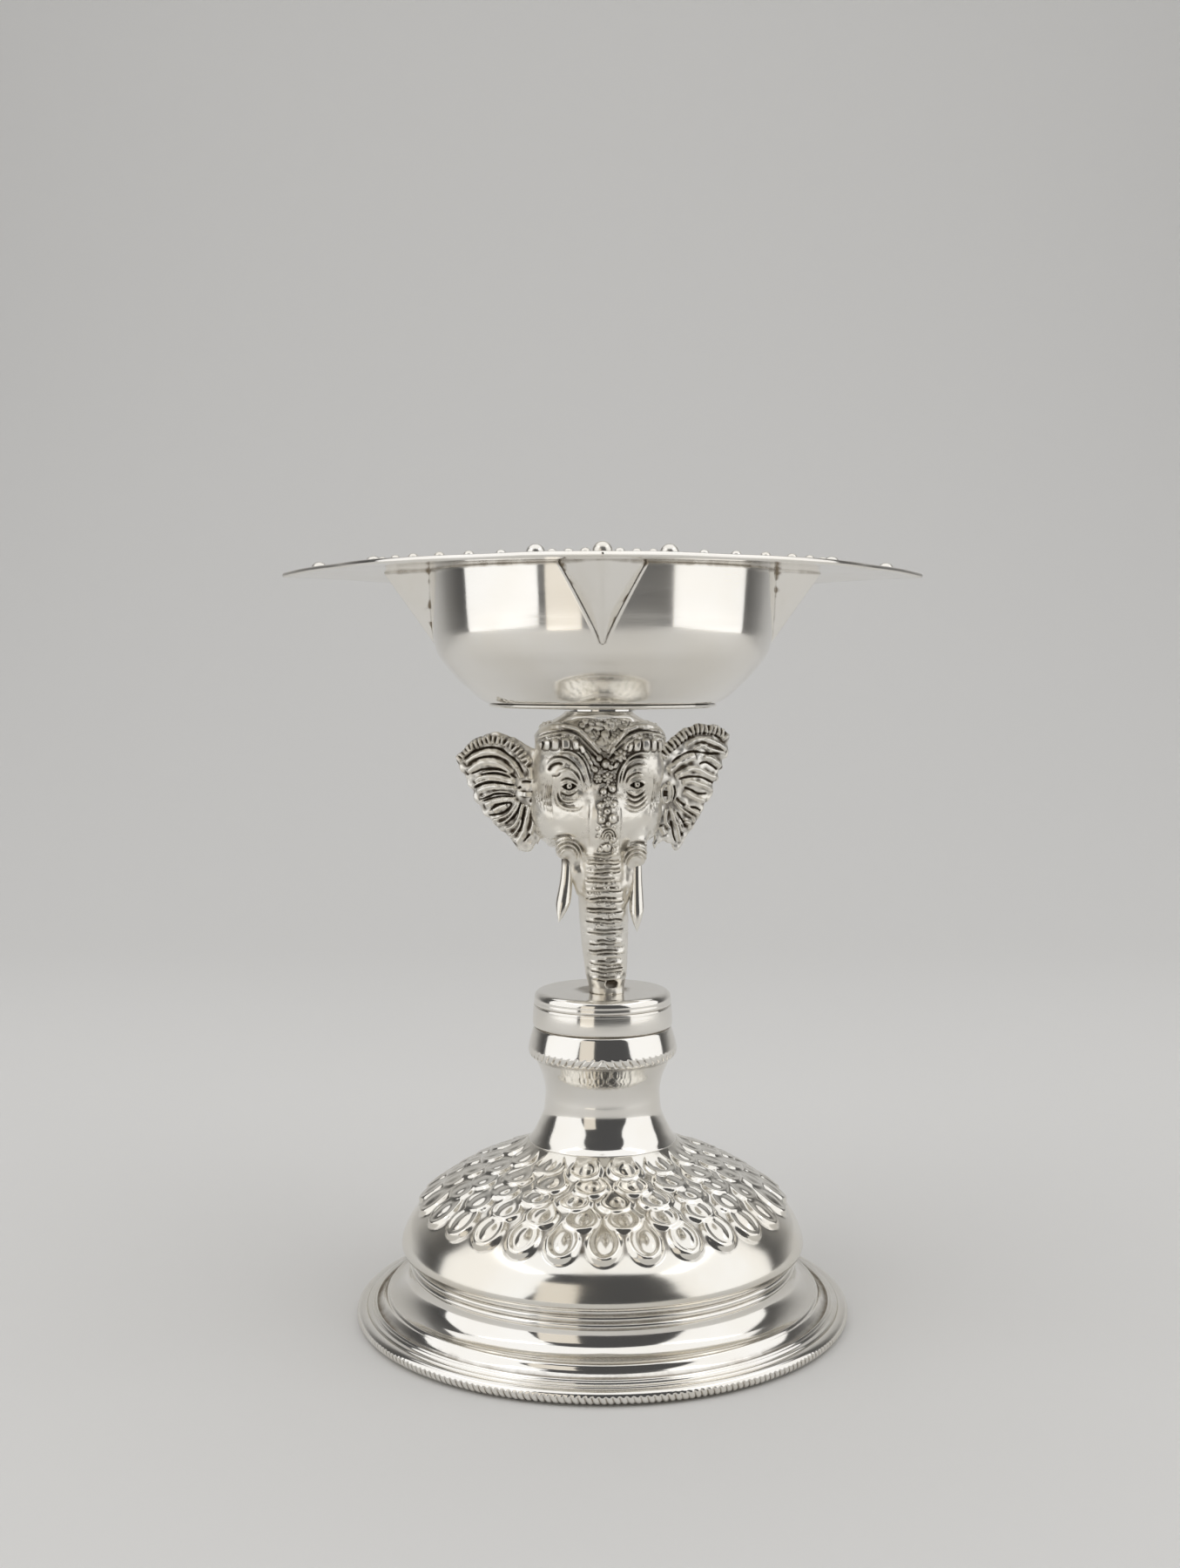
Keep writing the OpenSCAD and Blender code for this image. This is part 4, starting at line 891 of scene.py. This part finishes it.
def ear(name, s, sweep, form, pitch, notch):
    """An ear: a leaf with a notched border, ridges and grooves in front and soft pleats behind."""
    outline, border, ridges, grooves = form
    step, seat, soft = 0.09, 9.7, 0.35
    x, z, n = np.arange(-0.7, 13.7, step), np.arange(-9.6, 11.4, step), np.arange(-2.3, 1.5, step)
    r = Relief(x, z)
    for w, points in ridges:
        r.line(curve(points, 0.25), w, 0.3 + 0.5 * w, 0.06)
    for w, points in grooves:
        r.line(curve(points, 0.25), 0.85 * w, -0.28, 0.1)
    mid = even(curve(border, 0.05), pitch)
    for c, d in zip(mid, normals(mid)):
        lean = RNG.uniform(-0.15, 0.15) * np.array([d[1], -d[0]])
        r.line([c - notch * d + lean, c + notch * d - lean], 0.3 * pitch, RNG.uniform(0.42, 0.55))
    wander = mottle(r.up.shape, 3)
    h = r.up + np.where(r.up > 0.2, 0.4, 1.0) * r.down + 0.05 * wander
    e = inside(curve(outline + outline[:1], 0.25)[:-1], x, z) + 0.09 * wander
    thin = smooth(0, 0.9, e)
    bow = -0.8 * smooth(4, 13, x)[:, None] ** 2 * smooth(-4, 3, z)
    front = bow + 0.12 + 0.2 * thin + h * lerp(0.6, 1, thin)
    back = bow - 0.4 - 0.3 * thin - 0.16 * np.sin(2.2 * np.hypot(x[:, None], z - 0.5)) ** 2 * thin
    sheet = np.maximum(n - front[..., None], back[..., None] - n)
    edge = -e[..., None]
    t = np.clip(0.5 + 0.5 * (sheet - edge) / soft, 0, 1)
    d = np.clip(edge + (sheet - edge) * t + soft * t * (1 - t), -0.5, 0.5).astype(np.float32)
    pts, quads, (i, k, _) = skin(d, 0.5)
    deep = np.maximum(np.clip((blur(h, 4, (0, 1)) - h) / 0.16, 0, 1), 0.75 * np.clip(-h / 0.32, 0, 1))[i, k]
    deep = np.maximum(0.3 + 0.65 * deep, smooth(-0.12, -0.24, h)[i, k])
    px, pz, pn = (pts * step + [x[0], z[0], n[0]]).T
    deep *= np.where(pn > 0.5 * (front + back)[i, k], 1, 0.4)
    w = np.radians(sweep * s)
    hx, hy = s * px * np.cos(w) + pn * np.sin(w), s * px * np.sin(w) - pn * np.cos(w)
    v = np.column_stack([*facing(hx + HEAD_X + seat * s, hy), pz + EAR_HUB])
    piece(name, v, quads, deep, "base", "antique_silver", name, satin=0.9)


def tusk(name, s, long, spread, sweep):
    """A curved tusk that swells a little before its pointed tip."""
    rows, cols, root_x, root_y = 64, 28, 5.393, -5.904
    thick, swell, point_from, thinnest = 0.9, 0.24, 0.66, 0.02
    t = lerp(-0.12, 1, np.sin(np.linspace(0, np.pi / 2, rows)))[:, None]
    k = np.maximum(t, 0)
    end = np.maximum(0, (t - point_from) / (1 - point_from))
    r = np.maximum((thick + swell * hill(k - 0.68, 0.3)) * (1 - end ** 1.9), thinnest)
    a = around(cols)
    x = s * (root_x + spread * k ** 2) + HEAD_X + r * np.cos(a)
    y = root_y - sweep * k ** 2 + r * np.sin(a)
    v = np.stack([*facing(x, y), Z_CHEEK - 0.02 - long * t + 0 * x], -1)
    tone = np.repeat(0.8 * smooth(0.25, 0.0, t), cols, 1)
    piece(name, v, grid_faces(rows, cols, False, True), tone, "base", "antique_silver", name)


def stem_neck():
    """The ornamented neck between the head and the bowl; its skirt is drawn in behind the brow's lobes."""
    cols, bore_r, bore_z = 900, 3.05, 88.7
    root_r, root_z, skirt_z = 4.4, 85.6, Z_CROWN - 0.3
    outer = curve([[9.3, skirt_z], [9.55, Z_CROWN + 0.25], [9.2, Z_CROWN + 0.83], [7.6, Z_CROWN + 1.66],
                   [6.3, Z_CROWN + 2.37], [5.55, Z_CROWN + 2.94], [5.35, Z_SEAT - 0.02]], 0.05)
    inner = corners([[5.2, Z_SEAT], [bore_r, Z_SEAT], [bore_r, bore_z], [AXIS_R, bore_z], [AXIS_R, root_z],
                     [root_r, root_z], [root_r, skirt_z], [9.1, skirt_z]])
    a = around(cols)
    s = np.r_[0, np.cumsum(np.hypot(*np.diff(outer, axis=0).T))]
    h = np.zeros((len(outer), cols))

    def bead(at, down, r, tall):
        i = int(np.searchsorted(s, down))
        i0, i1 = np.searchsorted(s, [down - 1.4 * r, down + 1.4 * r])
        w = outer[min(i, len(s) - 1), 0] * ((a - at + np.pi) % TAU - np.pi)
        q = np.hypot(w[None, :], s[i0:i1, None] - down) / r
        form = tall * np.sqrt(np.maximum(0, 1 - q * q))
        h[i0:i1] = np.where(q < 1, np.maximum(h[i0:i1], form), h[i0:i1])

    flowers, petals = 15, 5
    for k in range(flowers):
        mid = TAU * (k + RNG.uniform(-0.2, 0.2)) / flowers - QUARTER
        down = RNG.uniform(1.4, 2.2)
        for w in np.arange(petals) * TAU / petals + RNG.uniform(0, 1):
            bead(mid + 0.6 * np.cos(w) / 8.2, down + 0.6 * np.sin(w), RNG.uniform(0.3, 0.5), 0.26)
        bead(mid, down, 0.36, 0.42)
    # Grains all round, and more in front
    for _ in range(260):
        bead(RNG.uniform(0, TAU), RNG.uniform(0.4, 2.9), RNG.uniform(0.16, 0.34), 0.18)
    for _ in range(60):
        bead(RNG.normal(-QUARTER, 0.22), RNG.uniform(1.5, 3.9), RNG.uniform(0.2, 0.45), 0.3)
    h *= smooth(0.1, 0.5, s)[:, None] * smooth(s[-1] - 0.5, s[-1] - 1.1, s)[:, None]
    deep = 0.8 * np.clip((blur(h, 4, (0, 1), (1,)) - h) / 0.12, 0, 1)
    deep += 0.35 * smooth(0.15, 0.0, h) * smooth(4.6, 3.8, s)[:, None]
    pts = np.concatenate([spin(outer, cols, h), spin(inner, cols)])
    r = np.hypot(pts[..., 0], pts[..., 1])
    front = 0.5 + 0.5 * np.cos(a + QUARTER - TURN)
    pts[..., :2] *= (1 - 0.38 * smooth(0.6, 0.93, front)[None, :] * smooth(5.4, 8.6, r))[..., None]
    pts[..., 0] -= 0.6 * smooth(4.6, 5.2, r)
    tone = np.concatenate([np.clip(deep, 0, 1), np.full((len(inner), cols), INNER_PATINA)])
    piece("stem_neck", pts, grid_faces(len(pts), cols, True, True), tone, "base", "bright_silver",
          "stem_neck", satin=0.8)


# Bowl

# Spouts: slope of the side walls, of the ridge, its reach at the rim, their height and the ridge's roundness
SIDE, SLOPE, REACH, SPOUT_TALL, RIDGE_SOFT = 0.734, 0.7334, 35.5, 11.75, 0.016
# Thickness of the bowl, and the angle below which a spout's opening counts as closed
BOWL_SHEET, CLOSED = 0.9, 0.004
# Line of the bowl: shares of its half width and its height
BOWL = [[0.6, 0], [0.685, 0.024], [0.812, 0.168], [0.891, 0.284], [0.942, 0.375], [0.967, 0.49],
        [0.978, 0.625], [0.989, 0.817], [1, 1]]


def bowl_line(step):
    """Outer line of the bowl from the bottom up."""
    return curve([[BOWL_R * u, lerp(Z_BOWL, Z_RIM, v)] for u, v in BOWL], step)


def ridge(z):
    """Distance of a spout's ridge from the axis."""
    return REACH + SLOPE * (z - Z_RIM)


def wedge(a, tip):
    """Distance of the spout's two walls from the axis at the angle a, with a rounded ridge."""
    return SIDE * tip / (np.sqrt(np.sin(a) ** 2 + RIDGE_SOFT ** 2) + SIDE * np.cos(a))


def join_angle(tip, r):
    """Angle at which the spout's wall leaves the bowl's."""
    c = np.clip(SIDE * tip / r / np.hypot(1, SIDE), -1, 1)
    return np.maximum(np.arcsin(c) - np.arctan(SIDE), 0)


def saucer():
    """The thin disc under the bowl, with an edge that turns up."""
    outer = curve([[16.2, 0], [17.0, 0.02], [17.6, 0.1], [18.0, 0.32], [18.05, 0.52], [17.9, 0.63],
                   [17.5, 0.61]], 0.05)
    top = [[r, 0.59] for r in np.linspace(17.2, AXIS_R, 12)]
    under = [[r, 0] for r in np.linspace(AXIS_R, 15.8, 12)]
    inner = np.array(top + under) + [0, Z_SAUCER]
    turned("saucer", outer + [0, Z_SAUCER], inner, ROUND, "bowl", "bright_silver", "saucer_plate")


def bowl():
    """The oil bowl, with its wall open where the four spouts leave it."""
    out = bowl_line(0.16)
    inn = out - BOWL_SHEET * normals(out)
    inn[:, 1] = np.clip(inn[:, 1], Z_BOWL + BOWL_SHEET, Z_RIM + 0.02)
    n, per = len(out), 60
    cols = 4 * (per + 1)
    r, z = out[:, :1], out[:, 1:]
    # Each quarter of the wall runs between two spouts
    gap = join_angle(ridge(z), r) * (z > Z_RIM - SPOUT_TALL - 0.05)
    w = np.linspace(0, 1, per + 1)
    a = np.concatenate([k * QUARTER + gap + (QUARTER - 2 * gap) * w for k in range(4)], 1)
    line = np.vstack([out, inn[::-1]])
    ring = polar(line[:, :1], np.vstack([a, a[::-1]]), line[:, 1:])
    is_open = gap[:, 0] > CLOSED
    faces = grid_faces(2 * n, cols, False, True)
    i, j = np.divmod(np.arange(len(faces)), cols)
    level = np.clip(np.minimum(i, 2 * n - 2 - i) + 1, 0, n - 1)
    faces = [faces[~((j % (per + 1) == per) & is_open[level])]]
    # Cut edges of the wall along each spout
    k = np.flatnonzero(is_open[1:])
    edge = np.column_stack([k, k + 1, 2 * n - 2 - k, 2 * n - 1 - k]) * cols
    for q in range(4):
        faces += [edge[:, ::-1] + q * (per + 1), edge + q * (per + 1) + per]
    # Floor outside and inside, each about a point on the axis
    floor = [[0, 0, Z_BOWL], [0, 0, Z_BOWL + BOWL_SHEET]]
    middle, last = 2 * n * cols, (2 * n - 1) * cols
    j = np.arange(cols)
    m = (j + 1) % cols
    fans = np.vstack([np.column_stack([np.full(cols, middle), m, j]),
                      np.column_stack([np.full(cols, middle + 1), last + j, last + m])])
    seam = np.minimum(w, 1 - w) * (QUARTER - 2 * gap) * r
    deep = np.tile(0.7 * hill(seam, 0.35) * is_open[:, None], (1, 4))
    deep += 0.75 * smooth(Z_RIM - 0.9, Z_RIM - 0.1, z) + 0.5 * smooth(Z_BOWL + 0.7, Z_BOWL, z)
    tone = np.r_[np.clip(deep, 0, 1).ravel(), np.full(n * cols + len(floor), 0.3)]
    piece("oil_bowl", np.vstack([ring.reshape(-1, 3), floor]), np.vstack(faces), tone, "bowl",
          "bright_silver", "bowl_shell", triangles=fans.tolist(), weld=True)


def spouts():
    """Four V-shaped wick spouts with a rounded ridge, open above."""
    line = bowl_line(0.05)
    z = np.linspace(Z_RIM - SPOUT_TALL, Z_RIM + 0.03, 90)[:, None]
    r = np.interp(z, line[:, 1], line[:, 0])
    w = np.linspace(-1, 1, 61)
    w = np.sign(w) * np.abs(w) ** 1.6
    half = join_angle(ridge(z), r)
    sheet, lap, inner_lap = 1.0, 0.05, 0.85
    r_out = np.maximum(wedge(half * w, ridge(z)), r - lap)
    r_in = np.maximum(r_out - sheet, r - inner_lap)
    seam = (1 - np.abs(w)) * half * r
    deep = 0.7 * hill(seam, 0.35) + 0.7 * smooth(Z_RIM - 0.9, Z_RIM - 0.1, z)
    deep += 0.5 * smooth(0.3, 1.6, mottle(seam.shape, 2)) * hill(seam, 2.2)
    # Faces of one spout: outside, inside, its top edge and the two edges along the bowl
    rows, cols = seam.shape
    size = rows * cols
    wall = grid_faces(rows, cols)
    top = np.arange(cols - 1) + (rows - 1) * cols
    left = np.arange(rows - 1) * cols
    right = left + cols - 1
    one = np.vstack([wall, wall[:, ::-1] + size, np.column_stack([top, top + 1, size + top + 1, size + top]),
                     np.column_stack([left, left + cols, size + left + cols, size + left]),
                     np.column_stack([right + cols, right, size + right, size + right + cols])])
    verts = [polar(side, half * w + q * QUARTER, z).reshape(-1, 3)
             for q in range(4) for side in (r_out, r_in)]
    faces = [one + 2 * size * q for q in range(4)]
    tone = np.tile(np.r_[deep.ravel(), np.full(size, 0.35)], 4)
    piece("wick_spouts", np.vstack(verts), np.vstack(faces), np.clip(tone, 0, 1), "bowl", "bright_silver",
          "wick_spouts")


def off_point(a):
    """Angle from the nearest point of the rim."""
    return a - QUARTER * np.round(a / QUARTER)


def rim_edge(a):
    """Distance of the rim's edge from the axis."""
    point, half_angle = 7.3, np.radians(27)
    return RIM_R + point * np.maximum(0, 1 - np.abs(off_point(a)) / half_angle) ** 1.7


def sunk(r, a):
    """How far the hand-beaten plate lies below its seat: it falls to its edge, points, front and right."""
    fall = 0.5 * smooth(RIM_BEND, RIM_R, r) + 0.35 * smooth(44.5, 51.5, r) ** 1.2
    return fall + 0.12 * smooth(20, 46, -r * np.sin(a)) + 0.1 * smooth(20, 46, r * np.cos(a))


def thinner(r):
    """How much thinner each side of the plate is towards its edge."""
    return 0.05 * smooth(RIM_BEND, RIM_R, r)


def rim():
    """The four-pointed rim: a thin plate with a rounded edge and points that droop a little."""
    cols, mid_z, round_off, clear = 1440, 0.4, 0.36, 0.05
    well_r, spout_wall = 26.72, 1.35
    a = around(cols)
    inner = np.maximum(well_r, wedge(off_point(a), ridge(Z_RIM) - spout_wall))
    outer = rim_edge(a) - clear
    u = np.linspace(0, 1, 40)[:, None]
    t = np.linspace(np.pi / 2, -np.pi / 2, 9)[1:-1, None]
    r_top = inner + (outer - round_off - inner) * u
    r_edge = outer - round_off + round_off * np.cos(t)
    r = np.vstack([r_top, r_edge, r_top[::-1]])
    half = mid_z - thinner(r)
    side = np.vstack([np.ones_like(u), np.sin(t), -np.ones_like(u)])
    z = Z_RIM + mid_z + half * side - sunk(r, a)
    z += 0.08 * smooth(1.1, 0.5, outer - r) * (np.arange(len(r)) < len(u) + 3)[:, None]
    tone = np.zeros_like(r)
    tone[-len(u):] = 0.5 * smooth(34, 27, r[-len(u):])
    tone[:len(u)] = 0.15
    piece("rim_plate", polar(r, a, z)[::-1], grid_faces(len(r), cols, True, True), tone[::-1], "bowl",
          "bright_silver", "rim_plate")


def beads():
    """Domes along the rim: a large one at each point and each side of a spout, small ones between them."""
    tip_r, side_r, side_a, between_r = 44.9, 36.3, np.radians(14.8), 38.3
    large, small = [], []
    for q in range(4):
        a = q * QUARTER
        large += [(tip_r, a)] + [(side_r, a + s * side_a) for s in (-1, 1)]
        for s in (-1, 1):
            for k in range(1, 4):
                p = lerp(np.array([tip_r, 0]), side_r * np.array([np.cos(side_a), s * np.sin(side_a)]), k / 4)
                small.append((np.hypot(*p), a + np.arctan2(p[1], p[0])))
        for k in range(1, 8):
            small.append((between_r - 1.2 * abs(k - 4) / 3, a + side_a + (QUARTER - 2 * side_a) * k / 8))
    rows, cols = 14, 28
    for name, places, d, tall, node in (("large_beads", large, 2.75, 1.45, "rim_large_beads"),
                                        ("small_beads", small, 1.65, 0.75, "rim_small_beads")):
        r = d / 2
        t = np.linspace(0.02, np.arccos((r - tall) / r) + 0.05, rows)[:, None]
        dome_pts = polar(r * np.sin(t), around(cols), Z_BEAD + tall - r + r * np.cos(t)).reshape(-1, 3)
        v = [dome_pts + polar(p, w, -sunk(p, w) - thinner(p)) for p, w in places]
        f = [grid_faces(rows, cols, False, True) + k * rows * cols for k in range(len(places))]
        tone = np.tile(np.repeat(0.7 * smooth(0.85, 1.0, np.linspace(0, 1, rows)), cols), len(places))
        piece(name, np.vstack(v), np.vstack(f)[:, ::-1], tone, "bowl", "antique_silver", node, satin=0.9)


for make in (foot, rope, reeds, dome, neck, collar, cap, elephant, stem_neck, saucer, bowl, spouts, rim,
             beads):
    make()
ear("left_ear", -1, 20, LEFT_EAR, 0.8, 0.5)
ear("right_ear", 1, 14, RIGHT_EAR, 0.86, 0.62)
tusk("left_tusk", -1, 9.7, 1.6, 2.4)
tusk("right_tusk", 1, 11.4, -0.2, 2.2)
for slot, names in (("brass_fittings", ("stem_washer", "stem_nut", "trunk_stud", "bowl_stud")),
                    ("bright_silver", ("seat_washer",))):
    for name in names:
        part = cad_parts[name]
        part.data.materials.clear()
        part.data.materials.append(FINISH[slot])


# Studio

def plain(name, colour, rough=0.9):
    """A matt material of one colour."""
    m = bpy.data.materials.new(name)
    m.use_nodes = True
    s = m.node_tree.nodes["Principled BSDF"]
    s.inputs["Base Color"].default_value = (*colour, 1)
    s.inputs["Roughness"].default_value = rough
    s.inputs["Specular IOR Level"].default_value = 0.2
    return m


def sweep():
    """A pale floor that turns up into a backdrop."""
    bend, wide = 0.45, 2.5
    curl = arc((0.35, bend), bend, bend, -90, 0, 24)
    line = np.vstack([[[-2.5, 0], [0.0, 0]], curl, [[0.8, 2.4]]])
    v = [(side, float(y), float(z)) for y, z in line for side in (-wide, wide)]
    me = mesh("sweep", v, grid_faces(len(line), 2).tolist())
    o = placed("sweep", me)
    me.materials.append(plain("pale_floor", (0.78, 0.772, 0.755)))


def lamp(name, at, aim, wide, tall, level, colour=(1, 1, 1)):
    """A soft panel; level is how bright it looks in a mirror."""
    d = bpy.data.lights.new(name, "AREA")
    d.shape, d.size, d.size_y = "RECTANGLE", wide, tall
    d.energy = level * np.pi * wide * tall
    d.color = colour
    o = placed(name, d)
    o.location = at
    o.rotation_euler = (Vector(aim) - Vector(at)).to_track_quat("-Z", "Y").to_euler()


sweep()
lamp("left_panel", (-0.6, -0.22, 0.3), (0, 0, 0.07), 0.8, 0.75, 1.02)
lamp("right_panel", (0.6, -0.16, 0.3), (0, 0, 0.07), 0.8, 0.75, 1.02)
lamp("top_panel", (0, 0.0, 0.85), (0, 0, 0), 1.5, 1.2, 1.0)
lamp("front_left_card", (-0.23, -0.5, 0.1), (0, 0, 0.07), 0.22, 0.5, 0.75, (1, 0.93, 0.82))

world = bpy.data.worlds.new("studio")
bpy.context.scene.world = world
world.use_nodes = True
world.node_tree.nodes["Background"].inputs["Color"].default_value = (0.08, 0.08, 0.082, 1)
world.node_tree.nodes["Background"].inputs["Strength"].default_value = 1

cam = bpy.data.cameras.new("camera")
cam.sensor_fit = "VERTICAL"
cam.sensor_height = 36
cam.lens = 40
cam.shift_x, cam.shift_y = -0.008, -0.0694
cam.clip_start = 0.01
eye = placed("camera", cam)
eye.location = (0, -0.2762, 0.1001)
eye.rotation_euler = (np.pi / 2, 0, 0)
bpy.context.scene.camera = eye
bpy.context.scene.view_settings.view_transform = "Standard"
